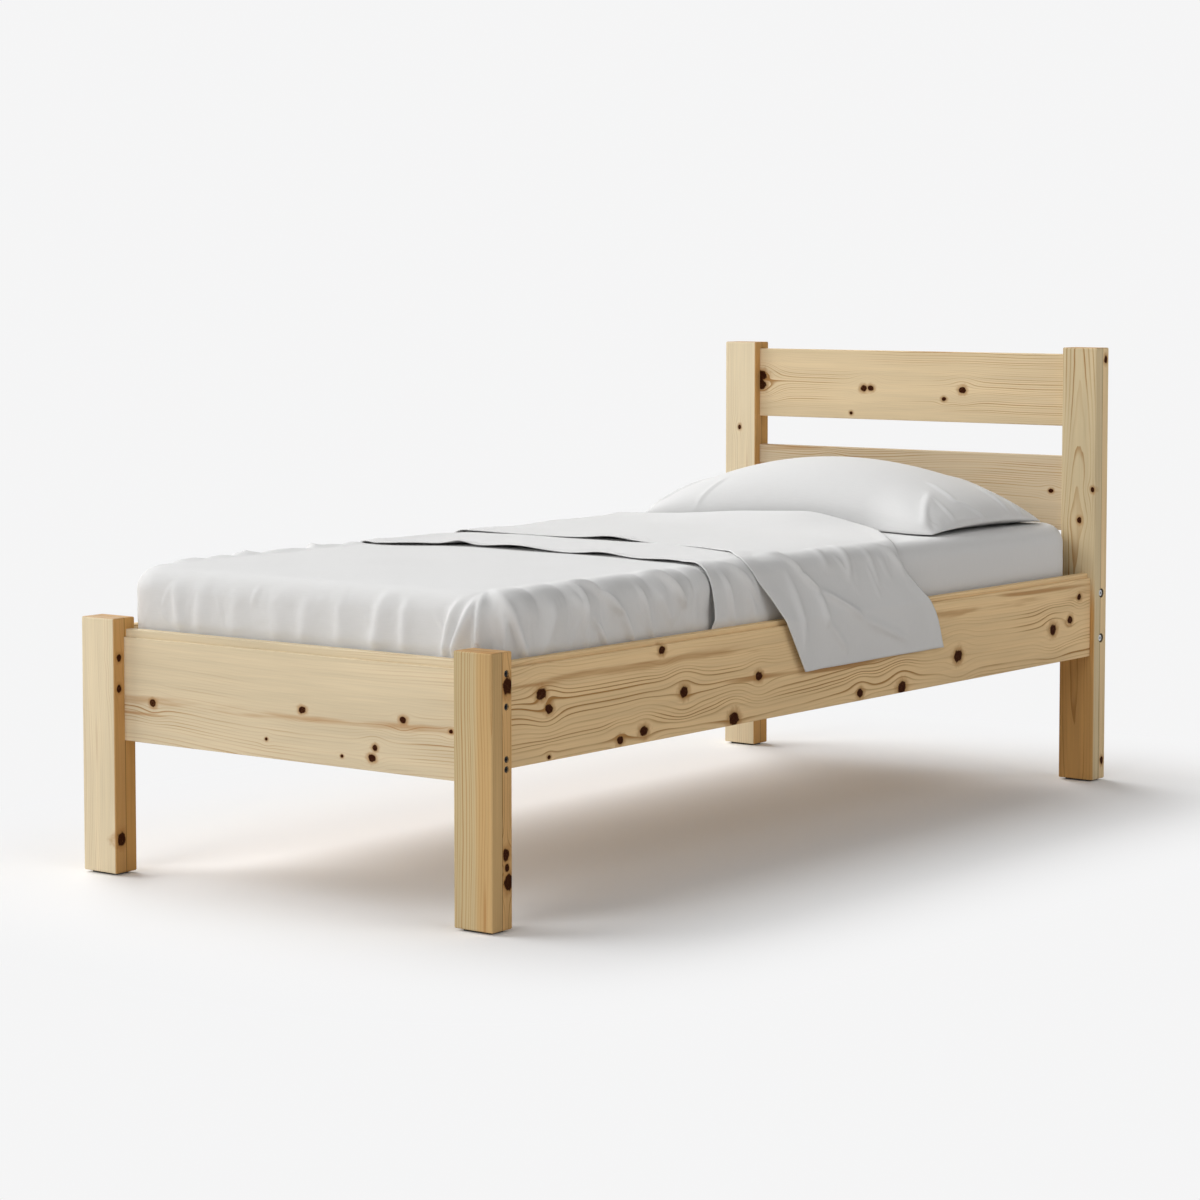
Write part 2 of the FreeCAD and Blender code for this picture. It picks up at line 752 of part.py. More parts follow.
def save_top_sheet():
    shell = cloth_shell(top_sheet_layer, tuck_z)
    outline = [(-far, top_sheet_foot_left)]
    outline += [(half_mattress - inset, cover_foot_left - show) for inset, show in top_sheet_shows]
    outline += [(outline[-1][0], top_sheet_head_edge), (-far, top_sheet_head_edge)]
    save("top_sheet", shell.common(plan_prism(outline)))


def cover_path(offset, flap_x):
    """The cover's line across the bed, from its tucked left hem to the flap's hem outside the right rail."""
    radius = mattress_edge_radius + offset
    centre_x = half_mattress - mattress_edge_radius
    centre_z = mattress_top - mattress_edge_radius
    lean = flap_lean()
    slope_x = centre_x + radius * math.cos(lean)
    slope_z = centre_z + radius * math.sin(lean)
    knee_z = centre_z + (radius - (flap_x - centre_x) * math.cos(lean)) / math.sin(lean)
    hem_z = min(flap_foot_corner[1], flap_head_corner[1]) - flap_trim

    def at(x, z):
        return Vector(x, 0, z)

    def on_round(side, angle):
        return at(side * (centre_x + radius * math.cos(angle)), centre_z + radius * math.sin(angle))

    left = -half_mattress - offset
    quarter = math.pi / 2
    middle = (quarter + lean) / 2
    return [Part.LineSegment(at(left, tuck_z), at(left, centre_z)),
            Part.Arc(at(left, centre_z), on_round(LEFT, quarter / 2), on_round(LEFT, quarter)),
            Part.LineSegment(on_round(LEFT, quarter), on_round(RIGHT, quarter)),
            Part.Arc(on_round(RIGHT, quarter), on_round(RIGHT, middle), at(slope_x, slope_z)),
            Part.LineSegment(at(slope_x, slope_z), at(flap_x, knee_z)),
            Part.LineSegment(at(flap_x, knee_z), at(flap_x, hem_z))]


def flap_outer_x():
    return rail_outer_x + flap_gap + cloth_thickness


def flap_lean():
    """The angle of the slope's normal, so that the slope runs from the mattress edge to the flap's knee."""
    radius = mattress_edge_radius + layer_outside(cover_layer)
    run_x = flap_outer_x() - (half_mattress - mattress_edge_radius)
    run_z = rail_top - flap_knee_drop - (mattress_top - mattress_edge_radius)
    return math.atan2(run_z, run_x) + math.acos(radius / math.hypot(run_x, run_z))


def cover_sheet():
    """The cover before its edges are cut, with the flap's folds."""
    outer_x = flap_outer_x()
    outer = cover_path(layer_outside(cover_layer), outer_x)
    inner = cover_path(layer_inside(cover_layer), outer_x - cloth_thickness)
    hems = [Part.LineSegment(outer[0].StartPoint, inner[0].StartPoint),
            Part.LineSegment(outer[-1].EndPoint, inner[-1].EndPoint)]
    edges = [curve.toShape() for curve in outer + inner + hems]
    section = Part.Face(Part.Wire(Part.__sortEdges__(edges)))
    section.translate(Vector(0, -half_length, 0))
    sheet = section.extrude(Vector(0, bed_length, 0))
    low_z = outer[-1].EndPoint.z
    high_z = outer[-1].StartPoint.z
    first_y = flap_foot_corner[0] + flap_fold_margin
    last_y = flap_head_corner[0] - flap_fold_margin
    folds = []
    for y in evenly(first_y, last_y, flap_fold_count):
        root = Vector(outer_x, y, 0)
        folds.append(hanging_fold(root, Vector(1, 0, 0), Vector(0, 1, 0), flap_fold_width, low_z, high_z))
    return sheet.fuse(folds)


def save_cover():
    sheet = cover_sheet()
    split_x = half_mattress + layer_outside(cover_layer)
    split_z = cover_path(layer_outside(cover_layer), flap_outer_x())[4].StartPoint.z
    left_x = -far
    foot_middle = (half_mattress - cover_foot_dip_inset, cover_foot_left - cover_foot_dip)
    head_middle = (half_mattress - cover_head_dip_inset, cover_head_left - cover_head_dip)
    top_outline = [(left_x, cover_foot_left), (0.0, cover_foot_left), foot_middle,
                   (split_x, cover_foot_right), (split_x, cover_head_right), head_middle,
                   (0.0, cover_head_left), (left_x, cover_head_left)]
    top = sheet.common(plan_prism(top_outline))
    flap_outline = [(cover_foot_right, split_z), flap_foot_corner, flap_head_corner,
                    (cover_head_right, split_z)]
    points = [Vector(split_x, y, z) for y, z in flap_outline]
    flap_prism = Part.Face(Part.makePolygon(points + points[:1])).extrude(Vector(far, 0, 0))
    flap = sheet.common(flap_prism)
    save("cover", top.fuse(flap).removeSplitter())


# Pillow

def pillow_form(inset):
    """A crowned pillow with drawn-in long sides; inset makes the smaller forms inside it."""
    rest_z = mattress_top + layer_outside(fitted_layer) + cloth_gap + inset
    half_across = pillow_width / 2 - 2 * inset
    middle_y = pillow_front + pillow_depth / 2
    shape = ((1.0, 0.0), (0.9, 0.42), (0.55, 0.86), (0.0, 1.0))
    stations = [(-share, swell) for share, swell in shape]
    stations += [(share, swell) for share, swell in reversed(shape[:-1])]
    sections = []
    for share, swell in stations:
        x = pillow_shift_x + share * half_across
        drawn = pillow_side_draw * (1 - share * share)
        half_deep = pillow_depth / 2 - drawn - 2 * inset
        height = pillow_end_height + swell * (pillow_height - pillow_end_height) - 2 * inset
        rim = min(pillow_rim_lift, height / 2)
        front = Vector(x, middle_y - half_deep, rest_z + rim)
        back = Vector(x, middle_y + half_deep, rest_z + rim)
        crown = Vector(x, middle_y, rest_z + height)
        rise = height - rim
        front_shoulder = Vector(x, middle_y - 0.66 * half_deep, rest_z + rim + 0.68 * rise)
        back_shoulder = Vector(x, middle_y + 0.66 * half_deep, rest_z + rim + 0.68 * rise)
        curves = [Part.Arc(front, front_shoulder, crown), Part.Arc(crown, back_shoulder, back),
                  Part.Arc(back, Vector(x, middle_y, rest_z), front)]
        sections.append(Part.Wire([curve.toShape() for curve in curves]))
    return Part.makeLoft(sections, True, False)


def save_pillow():
    """The case with its hollow, and the filling a little smaller inside it."""
    hollow = pillow_form(case_thickness)
    save("pillowcase", pillow_form(0.0).cut(hollow))
    save("pillow", pillow_form(case_thickness + case_gap).common(hollow))


os.makedirs("parts", exist_ok=True)
save_posts()
save_side_rails()
save_footboard()
save_headboard()
save_slat_base()
save_fittings()
save_glides()
save_mattress()
save("fitted_sheet", cloth_shell(fitted_layer, slat_top + fitted_hem_rise))
save_blanket()
save_top_sheet()
save_cover()
save_pillow()
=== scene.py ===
import math
from typing import NamedTuple

import bpy
import numpy as np
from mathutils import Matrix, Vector
from bpy.props import FloatProperty, FloatVectorProperty, IntProperty, PointerProperty


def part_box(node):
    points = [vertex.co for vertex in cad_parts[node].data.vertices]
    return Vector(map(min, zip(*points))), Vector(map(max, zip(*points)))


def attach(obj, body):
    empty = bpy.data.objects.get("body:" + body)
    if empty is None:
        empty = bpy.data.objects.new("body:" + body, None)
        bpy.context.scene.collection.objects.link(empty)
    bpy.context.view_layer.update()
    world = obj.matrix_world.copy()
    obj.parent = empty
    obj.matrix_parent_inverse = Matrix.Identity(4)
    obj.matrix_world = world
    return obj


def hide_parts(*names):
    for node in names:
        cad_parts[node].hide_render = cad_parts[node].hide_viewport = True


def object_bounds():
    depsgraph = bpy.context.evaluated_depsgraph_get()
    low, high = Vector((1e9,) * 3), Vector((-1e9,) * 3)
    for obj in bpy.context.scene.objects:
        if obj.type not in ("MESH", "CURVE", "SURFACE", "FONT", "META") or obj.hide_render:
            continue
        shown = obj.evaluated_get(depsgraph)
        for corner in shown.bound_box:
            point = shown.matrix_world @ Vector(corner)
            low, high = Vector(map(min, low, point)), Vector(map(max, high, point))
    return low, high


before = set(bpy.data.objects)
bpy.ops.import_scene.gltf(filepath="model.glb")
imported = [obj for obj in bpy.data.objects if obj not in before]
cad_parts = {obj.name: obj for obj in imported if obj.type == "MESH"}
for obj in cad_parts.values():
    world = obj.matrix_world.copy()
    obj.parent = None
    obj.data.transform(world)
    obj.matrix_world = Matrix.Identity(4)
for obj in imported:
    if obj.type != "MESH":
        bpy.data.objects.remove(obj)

CAD_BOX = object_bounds()

bl_info = {
    "name": "Knotty pine single bed",
    "version": (1, 0, 0),
    "blender": (4, 5, 0),
    "location": "View3D > Sidebar > Bed",
    "description": "Dresses the packed bed frame with pine, bedding and a pillow",
    "category": "Object",
}

# Places taken from the frame, in metres

MATTRESS_LOW, MATTRESS_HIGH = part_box("mattress")
PILLOW_LOW, PILLOW_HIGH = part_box("pillowcase")
RAIL_LOW, RAIL_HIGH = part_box("side_rail_right")
HEAD_SEAM = (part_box("head_post_right_outer_ply")[0].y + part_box("head_post_right_inner_ply")[1].y) / 2
FOOT_SEAM = -HEAD_SEAM

# Head bolts' bores through the head posts' plies

BORE_Y = 1.035
BORE_HEIGHTS = (0.411, 0.313)
BORE_RADIUS = 0.010

# Stage: each lamp's name, direction, spread in degrees and strength

LAMPS = (
    ("left_back_light", (-0.74, 0.30, 0.60), 40.0, 1.80),
    ("left_front_light", (-0.74, -0.30, 0.60), 40.0, 1.80),
    ("front_light", (0.0, -0.92, 0.39), 36.0, 1.02),
    ("right_light", (0.82, 0.05, 0.57), 50.0, 0.75))
LAMP_DISTANCE = 6.0
AMBIENT_STRENGTH = 0.07
FLOOR_HALF = 40.0
FLOOR_BOUNCE = (0.78, 0.75, 0.72)
SHADOW_FADE = (-0.10, 0.65)
CAMERA_PLACE = (3.9252, -5.2718, 1.1231)
CAMERA_DIP = math.radians(4.176)
CAMERA_HEADING = math.radians(37.305)
LENS_LENGTH = 98.55
LENS_SHIFT = -0.08
SENSOR_WIDTH = 36.0
VIEW_END = 200.0

# Bump depths of the finishes

GRAIN_DEPTH = 0.0006
COTTON_DEPTH = 0.0022
SPECKLE_DEPTH = 0.0002

# Cloth and pillow

FLAT_PLACE = "flat_place"
QUARTER = math.pi / 2
TINY = 1e-9
MATTRESS_BASE_RADIUS = 0.012
GATHERED_SHARE = 0.15
FRAME_GAP = 0.0012
POST_GAP = 0.0015
FOLD_OVERHANG = 0.022
COVER_GAP = 0.002
FLAP_GAP = 0.0025
FLAP_KNEE_DROP = 0.004
FLAP_KNEE_HALF = 0.012
TOP_SHEET_MESH_LENGTH = 0.50
COVER_MESH_LENGTH = 0.55
FARTHEST_SWELL = 0.016
POUCH_CLOTH = {
    "quality": 5, "mass": 0.12, "tension_stiffness": 12.0, "compression_stiffness": 12.0,
    "shear_stiffness": 4.0, "bending_stiffness": 0.5, "air_damping": 2.0, "use_pressure": True,
    "uniform_pressure_force": 3.0}


def length_property(name, description, default):
    return FloatProperty(name=name, description=description, default=default, subtype="DISTANCE",
                         unit="LENGTH")


def colour_property(name, description, default):
    return FloatVectorProperty(name=name, description=description, default=default, subtype="COLOR",
                               size=3, min=0.0, max=1.0)


class BedSizes(bpy.types.PropertyGroup):
    """Sizes of the soft pieces and of the wood's figure."""

    mattress_corner: length_property("Mattress corner", "Corner radius of the mattress in plan", 0.080)
    mattress_edge: length_property("Mattress edge", "Radius of the mattress's upper edge", 0.040)
    cloth_thickness: length_property("Cloth thickness", "Thickness of each sheet", 0.0015)
    cloth_step: length_property("Cloth step", "Height from one cloth layer to the next", 0.0018)
    grid_step: length_property("Cloth grid", "Spacing of the cloth's mesh", 0.0045)
    tuck_depth: length_property("Tuck depth", "How far the cloth reaches below the rails' tops", 0.050)
    puff_height: length_property("Puff height", "How far the blanket swells over the mattress's edge", 0.009)
    thread: length_property("Thread", "Width of one thread of the cotton", 0.0009)
    ring_width: length_property("Ring width", "Width of one year's growth in the pine", 0.0052)


class BedColours(bpy.types.PropertyGroup):
    """Colours of the finishes and of the stage."""

    early_wood: colour_property("Early wood", "Pale wood between the growth rings", (0.84, 0.64, 0.375))
    late_wood: colour_property("Late wood", "Darker wood of the growth rings", (0.43, 0.225, 0.075))
    knot: colour_property("Knot", "Heart of a knot", (0.036, 0.008, 0.002))
    knot_halo: colour_property("Knot halo", "Stained wood round a knot", (0.42, 0.205, 0.066))
    # Painted shade: darker wood laid over the posts' faces turned from the lamps and over the head right
    # post's front below the rail
    painted_shade_wood: colour_property("PaintedShade", "Darker wood from the middle of the tree", (0.60, 0.30, 0.07))
    slat_wood: colour_property("Slat wood", "Pale wood of the slats", (0.82, 0.60, 0.34))
    beech: colour_property("Beech", "Wood of the dowels", (0.55, 0.36, 0.20))
    zinc: colour_property("Zinc", "Bright steel fittings", (0.56, 0.57, 0.58))
    black_steel: colour_property("Black steel", "Blackened bolts", (0.028, 0.027, 0.026))
    black_plastic: colour_property("Black plastic", "Glides under the posts", (0.022, 0.021, 0.020))
    cotton: colour_property("Cotton", "White of the sheets", (0.700, 0.698, 0.692))
    ticking: colour_property("Ticking", "Cloth of the mattress", (0.64, 0.56, 0.46))
    floor: colour_property("Floor", "Pale floor and background", (0.915, 0.915, 0.918))


def sizes():
    return bpy.context.scene.bed_sizes


def colours():
    return bpy.context.scene.bed_colours


# Boards and the plies of the posts

class Board(NamedTuple):
    """How one board is cut from its tree, and what its faces show."""

    axes: str  # the object's axes along, across and through the board
    pith: tuple  # the tree's middle, across and through the board
    seed: float  # picks the board's own grain
    knots: tuple = ()  # place along, place across and radius of each knot
    face: float = 0.0  # place through the board where its knots are widest
    figure: float = 0.8  # strength of the growth rings
    early: tuple = None  # colour between the rings, where it isn't the common one
    ring_width: float = None  # width of one year's growth, where it isn't the common one
    band: float = 10.0  # place across the board where its strong figure ends
    resin: float = 0.0  # strength of the resin streak along that place
    seam: float = None  # place of the glue seam beside a post's ply
    painted_shade: tuple = None  # share of painted shade, and each axis and range over which it comes in


BOARDS = {
    "side_rail_right": Board(
        "YZX", (0.20, 0.40), 1.7, face=0.478, figure=1.25, early=(0.87, 0.635, 0.353), ring_width=0.0070,
        band=0.415, resin=0.55,
        knots=((-0.913, 0.393, 0.011), (-0.891, 0.365, 0.009), (-0.565, 0.436, 0.008), (-0.497, 0.353, 0.011),
               (-0.619, 0.296, 0.010), (-0.689, 0.288, 0.008), (-0.891, 0.282, 0.004), (-0.340, 0.287, 0.013),
               (-0.259, 0.358, 0.009), (0.454, 0.328, 0.013), (0.241, 0.286, 0.013), (0.088, 0.290, 0.009),
               (0.843, 0.347, 0.012), (0.916, 0.362, 0.009), (0.955, 0.408, 0.007))),
    "side_rail_left": Board(
        "YZX", (0.22, -0.41), 4.3, face=-0.478, figure=0.9, ring_width=0.0060,
        knots=((-0.74, 0.35, 0.011), (-0.42, 0.41, 0.007), (-0.05, 0.31, 0.012), (0.37, 0.39, 0.009),
               (0.71, 0.33, 0.012), (0.78, 0.35, 0.006))),
    "footboard": Board(
        "XZY", (0.17, -0.96), 7.9, face=-1.032, figure=1.1, early=(0.745, 0.625, 0.43), band=0.330,
        resin=0.55,
        knots=((-0.331, 0.324, 0.007), (0.037, 0.342, 0.0065), (0.270, 0.344, 0.0065), (0.199, 0.272, 0.007),
               (0.206, 0.290, 0.0055), (0.130, 0.269, 0.003), (-0.050, 0.283, 0.003), (0.377, 0.333, 0.004))),
    "headboard_top_board": Board(
        "XZY", (0.64, 0.97), 11.2, face=1.023, figure=0.85, early=(0.79, 0.63, 0.40), ring_width=0.0042,
        knots=((-0.118, 0.842, 0.0075), (-0.100, 0.843, 0.0070), (0.141, 0.844, 0.008), (0.094, 0.823, 0.005),
               (-0.152, 0.785, 0.004), (-0.400, 0.866, 0.012), (-0.401, 0.845, 0.012))),
    "headboard_lower_board": Board(
        "XZY", (0.46, 0.97), 14.6, face=1.023, figure=1.1, early=(0.68, 0.555, 0.38),
        knots=((0.368, 0.629, 0.005), (-0.21, 0.66, 0.008))),
    "headboard_base_rail": Board(
        "XZY", (0.20, 0.95), 17.3, face=1.023, figure=0.7,
        knots=((-0.27, 0.36, 0.010), (0.16, 0.40, 0.008), (0.31, 0.33, 0.012))),
}
SLAT = Board("XYZ", (0.0, 0.05), 42.0)
LEDGER = Board("YZX", (0.22, 0.1), 47.0)
DOWEL = Board("XYZ", (0.03, 0.37), 51.0, ring_width=0.0015)

PLY_RING_WIDTH = 0.0046
PALE_WOOD = (0.83, 0.705, 0.49)
DULL_WOOD = (0.71, 0.58, 0.363)
BROWN_WOOD = (0.58, 0.46, 0.262)
# Painted shade: share of the shade colour, and each axis and range over which it comes in, on the posts'
# faces turned from the lamps, the right foot post's front towards its right edge and the head right post's
# front below the rail
PAINTED_SHADE_LEFT_INSIDE = (0.84, (("X", -0.4075, -0.4045),))
PAINTED_SHADE_RIGHT_FRONT = (0.40, (("X", 0.446, 0.462),))
PAINTED_SHADE_RIGHT_OUTSIDE = (0.62, (("X", 0.4840, 0.4875),))
PAINTED_SHADE_HEAD_FRONT = (0.78, (("Z", 0.46, 0.36), ("Y", 1.0075, 1.0045)))


def ply(axes, pith, seed, knots, face, figure, seam, early=None, painted_shade=None):
    return Board(axes, pith, seed, knots, face, figure, early, PLY_RING_WIDTH, seam=seam, painted_shade=painted_shade)


PLIES = {
    "foot_post_right_outer_ply": ply(
        "ZXY", (0.52, -1.12), 21.1, (), -1.058, 1.0, FOOT_SEAM, BROWN_WOOD, PAINTED_SHADE_RIGHT_FRONT),
    "foot_post_right_inner_ply": ply(
        "ZYX", (-1.15, 0.52), 23.4,
        ((0.418, -1.017, 0.013), (0.133, -1.021, 0.009), (0.085, -1.015, 0.012), (0.110, -1.019, 0.006)),
        0.488, 0.9, FOOT_SEAM, painted_shade=PAINTED_SHADE_RIGHT_OUTSIDE),
    "foot_post_left_outer_ply": ply(
        "ZYX", (-0.98, -0.30), 25.9, ((0.403, -1.045, 0.006), (0.346, -1.046, 0.006), (0.067, -1.043, 0.011)),
        -0.404, 0.3, FOOT_SEAM, PALE_WOOD, PAINTED_SHADE_LEFT_INSIDE),
    "foot_post_left_inner_ply": ply(
        "ZXY", (-0.56, -0.95), 28.2, ((0.21, -0.46, 0.008),), -1.004, 0.7, FOOT_SEAM, painted_shade=PAINTED_SHADE_LEFT_INSIDE),
    "head_post_right_inner_ply": ply(
        "ZXY", (0.44, 0.965), 31.5, ((0.570, 0.449, 0.006), (0.637, 0.481, 0.005)), 1.004, 0.9, HEAD_SEAM,
        DULL_WOOD, PAINTED_SHADE_HEAD_FRONT),
    "head_post_right_outer_ply": ply(
        "ZYX", (1.15, 0.49), 33.8, ((0.917, 1.044, 0.007), (0.044, 1.044, 0.007)), 0.488, 0.7, HEAD_SEAM),
    "head_post_left_inner_ply": ply(
        "ZXY", (-0.58, 0.95), 36.4, ((0.745, -0.448, 0.005),), 1.004, 0.3, HEAD_SEAM, PALE_WOOD,
        PAINTED_SHADE_LEFT_INSIDE),
    "head_post_left_outer_ply": ply(
        "ZYX", (1.15, -0.47), 38.7, ((0.61, 1.045, 0.008),), -0.488, 0.7, HEAD_SEAM, painted_shade=PAINTED_SHADE_LEFT_INSIDE),
}

# Each crease: place along the edge and depth where it starts, the same where it ends, width and height

SIDE_CREASES = (
    (-0.067, 0.050, -0.030, 0.160, 0.016, 0.011), (-0.143, 0.020, -0.168, 0.175, 0.006, 0.013),
    (-0.158, 0.015, -0.262, 0.085, 0.007, 0.014), (-0.250, 0.070, -0.322, 0.170, 0.007, 0.014),
    (-0.172, 0.075, -0.248, 0.170, 0.006, 0.012), (-0.310, 0.040, -0.374, 0.170, 0.006, 0.012),
    (-0.376, 0.010, -0.452, 0.088, 0.007, 0.013), (-0.362, 0.050, -0.415, 0.115, 0.012, 0.008),
    (-0.465, 0.030, -0.490, 0.150, 0.012, 0.006))
CORNER_CREASES = (
    (0.052, 0.030, 0.000, 0.160, 0.008, 0.016), (0.049, 0.050, 0.057, 0.200, 0.007, 0.020),
    (0.086, 0.030, 0.090, 0.200, 0.007, 0.024), (0.096, 0.035, 0.142, 0.165, 0.009, 0.020),
    (0.128, 0.040, 0.160, 0.155, 0.009, 0.014))
FOOT_CREASES = (
    (0.240, 0.040, 0.245, 0.170, 0.018, 0.008), (0.290, 0.035, 0.320, 0.170, 0.020, 0.010),
    (0.386, 0.040, 0.395, 0.165, 0.022, 0.006), (0.470, 0.050, 0.482, 0.160, 0.022, 0.006),
    (0.548, 0.045, 0.545, 0.165, 0.024, 0.006), (0.640, 0.050, 0.650, 0.160, 0.022, 0.005),
    (0.728, 0.045, 0.735, 0.165, 0.020, 0.006), (0.795, 0.040, 0.775, 0.165, 0.016, 0.007))
SHEET_CREASES = (
    (-0.575, 0.040, -0.610, 0.170, 0.008, 0.012), (-0.598, 0.010, -0.680, 0.095, 0.009, 0.010),
    (-0.640, 0.060, -0.690, 0.165, 0.010, 0.008))
FLAP_CREASES = (
    (0.135, -0.010, 0.085, 0.068, 0.006, 0.009), (0.092, 0.060, 0.046, 0.104, 0.006, 0.010),
    (0.052, 0.098, 0.044, 0.170, 0.009, 0.009), (0.044, 0.160, -0.025, 0.225, 0.009, 0.007),
    (0.050, 0.098, -0.085, 0.168, 0.008, 0.009), (-0.075, 0.165, -0.240, 0.222, 0.009, 0.008),
    (0.130, 0.060, 0.122, 0.200, 0.010, 0.008), (-0.096, -0.005, -0.070, 0.085, 0.010, 0.007),
    (-0.215, 0.010, -0.265, 0.090, 0.009, 0.007), (-0.020, -0.005, 0.000, 0.060, 0.012, 0.005),
    (-0.160, 0.010, -0.165, 0.110, 0.010, 0.004))

# On the pillow the two places are across it and from its middle to its back

PILLOW_CREASES = (
    (0.280, -0.065, 0.375, -0.083, 0.005, 0.005), (0.365, -0.084, 0.425, -0.040, 0.005, 0.006),
    (0.320, 0.083, 0.412, 0.078, 0.005, 0.005), (0.325, -0.124, 0.415, -0.138, 0.005, 0.004),
    (0.416, -0.145, 0.424, -0.040, 0.004, 0.003), (0.380, -0.209, 0.415, -0.200, 0.005, 0.004),
    (0.315, -0.105, 0.400, -0.245, 0.016, 0.006), (0.370, 0.128, 0.420, 0.126, 0.005, 0.004),
    (0.360, 0.240, 0.240, 0.120, 0.010, 0.004), (-0.415, 0.200, -0.300, 0.050, 0.010, 0.006),
    (-0.410, -0.210, -0.310, -0.080, 0.009, 0.006), (-0.250, -0.240, -0.210, -0.160, 0.008, 0.003))

# Places along the mattress's edge where the blanket is drawn in, and the lifts of two edges across the bed:
# each lift's place, half width and height

RIM_DIPS = (0.066, -0.029, -0.110, -0.200, -0.354, -0.477, -0.535)
TOP_SHEET_LIFTS = (
    (-0.30, 0.06, 0.0022), (-0.205, 0.030, 0.0085), (-0.05, 0.075, 0.0080), (0.165, 0.060, 0.0070),
    (0.30, 0.08, 0.0022))
COVER_LIFTS = ((-0.03, 0.055, 0.0060),)

# Edges across the bed, between their ends at the cloth's sides

TOP_SHEET_FOOT = (
    (-0.44, -0.350), (-0.36, -0.372), (-0.24, -0.318), (-0.17, -0.308), (-0.04, -0.322), (0.08, -0.322),
    (0.25, -0.338), (0.36, -0.352), (0.43, -0.378), (0.50, -0.386))
COVER_FOOT = (
    (-0.20, -0.055), (-0.03, -0.050), (0.10, -0.062), (0.20, -0.085), (0.32, -0.145), (0.445, -0.245),
    (0.52, -0.205))
COVER_HEAD = (
    (-0.20, 0.492), (0.0, 0.492), (0.12, 0.490), (0.20, 0.478), (0.285, 0.436), (0.36, 0.358), (0.42, 0.288),
    (0.47, 0.266), (0.525, 0.305), (0.575, 0.350))


# Node building

def add_node(tree, kind, inputs=None, **settings):
    """A node with its settings, whose inputs are values or the sockets that feed them."""
    node = tree.nodes.new(kind)
    for key, value in settings.items():
        setattr(node, key, value)
    for key, value in (inputs or {}).items():
        if isinstance(value, bpy.types.NodeSocket):
            tree.links.new(value, node.inputs[key])
        else:
            node.inputs[key].default_value = value
    return node


def calc(tree, operation, *values):
    return add_node(tree, "ShaderNodeMath", dict(enumerate(values)), operation=operation).outputs[0]


def product(tree, first, *others):
    for other in others:
        first = calc(tree, "MULTIPLY", first, other)
    return first


def vector_calc(tree, operation, *values):
    node = add_node(tree, "ShaderNodeVectorMath", dict(enumerate(values)), operation=operation)
    return node.outputs["Value"] if operation == "LENGTH" else node.outputs["Vector"]


def joined_vector(tree, **parts):
    return add_node(tree, "ShaderNodeCombineXYZ", parts).outputs["Vector"]


def noise(tree, vector, scale=1.0, detail=2.0, roughness=0.5):
    inputs = {"Vector": vector, "Scale": scale, "Detail": detail, "Roughness": roughness}
    return add_node(tree, "ShaderNodeTexNoise", inputs).outputs["Fac"]


def grain_noise(tree, point, along, across, detail):
    """Noise drawn out along the grain."""
    return noise(tree, vector_calc(tree, "MULTIPLY", point, (along, across, across)), 1.0, detail)


def line_noise(tree, value, seed, scale, detail):
    """Noise along a single value, different for each seed."""
    return noise(tree, joined_vector(tree, X=value, Y=seed), scale, detail)


def smooth_range(tree, value, low, high, to_low=0.0, to_high=1.0):
    inputs = {"Value": value, "From Min": low, "From Max": high, "To Min": to_low, "To Max": to_high}
    return add_node(tree, "ShaderNodeMapRange", inputs, interpolation_type="SMOOTHSTEP").outputs["Result"]


def blend_colour(tree, share, first, second, blend_type="MIX"):
    inputs = {0: share, 6: first, 7: second}
    return add_node(tree, "ShaderNodeMix", inputs, data_type="RGBA", blend_type=blend_type).outputs[2]


def shade_colour(tree, colour, shade):
    """A colour made lighter or darker by one value."""
    grey = add_node(tree, "ShaderNodeCombineColor", {"Red": shade, "Green": shade, "Blue": shade})
    return blend_colour(tree, 1.0, colour, grey.outputs["Color"], "MULTIPLY")


def opaque(colour):
    return (*colour, 1.0)


# Effects that several materials share

SURFACE_OUTPUTS = (("Color", "Color"), ("Roughness", "Float"), ("Height", "Float"))


def new_group(name, inputs, outputs=SURFACE_OUTPUTS):
    """An empty shader node group with named sockets, and its input and output nodes' sockets."""
    tree = bpy.data.node_groups.new(name, "ShaderNodeTree")
    for label, kind in inputs:
        tree.interface.new_socket(name=label, in_out="INPUT", socket_type="NodeSocket" + kind)
    for label, kind in outputs:
        tree.interface.new_socket(name=label, in_out="OUTPUT", socket_type="NodeSocket" + kind)
    return tree, tree.nodes.new("NodeGroupInput").outputs, tree.nodes.new("NodeGroupOutput").inputs


def knot_group(name):
    """One knot, tapering into its board: it spreads the grain and covers what came before it."""
    tree, given, result = new_group(
        name,
        (("Point", "Vector"), ("Place", "Vector"), ("Size", "Float"), ("Spread", "Float"), ("Core", "Float"),
         ("Halo", "Float")),
        (("Spread", "Float"), ("Core", "Float"), ("Halo", "Float")))
    away = vector_calc(tree, "SUBTRACT", given["Point"], given["Place"])
    parts = add_node(tree, "ShaderNodeSeparateXYZ", {"Vector": away})
    taper = smooth_range(tree, calc(tree, "ABSOLUTE", parts.outputs["Z"]), 0.0, 0.06, 1.0, 0.05)
    span = vector_calc(tree, "LENGTH", vector_calc(tree, "MULTIPLY", away, (0.80, 1.0, 0.0)))
    span = calc(tree, "DIVIDE", span, calc(tree, "MULTIPLY", given["Size"], taper))
    swirl = calc(tree, "POWER", 2.718, product(tree, span, span, -0.085))
    shift = product(tree, swirl, 0.82, parts.outputs["Y"])
    tree.links.new(calc(tree, "ADD", given["Spread"], shift), result["Spread"])
    ragged = calc(tree, "MULTIPLY_ADD", noise(tree, given["Point"], 110.0, 3.0), 0.8, 0.6)
    span = calc(tree, "MULTIPLY", span, ragged)
    for label, outer, inner in (("Core", 1.08, 0.78), ("Halo", 2.1, 0.8)):
        covered = smooth_range(tree, span, outer, inner)
        tree.links.new(calc(tree, "MAXIMUM", given[label], covered), result[label])
    return tree


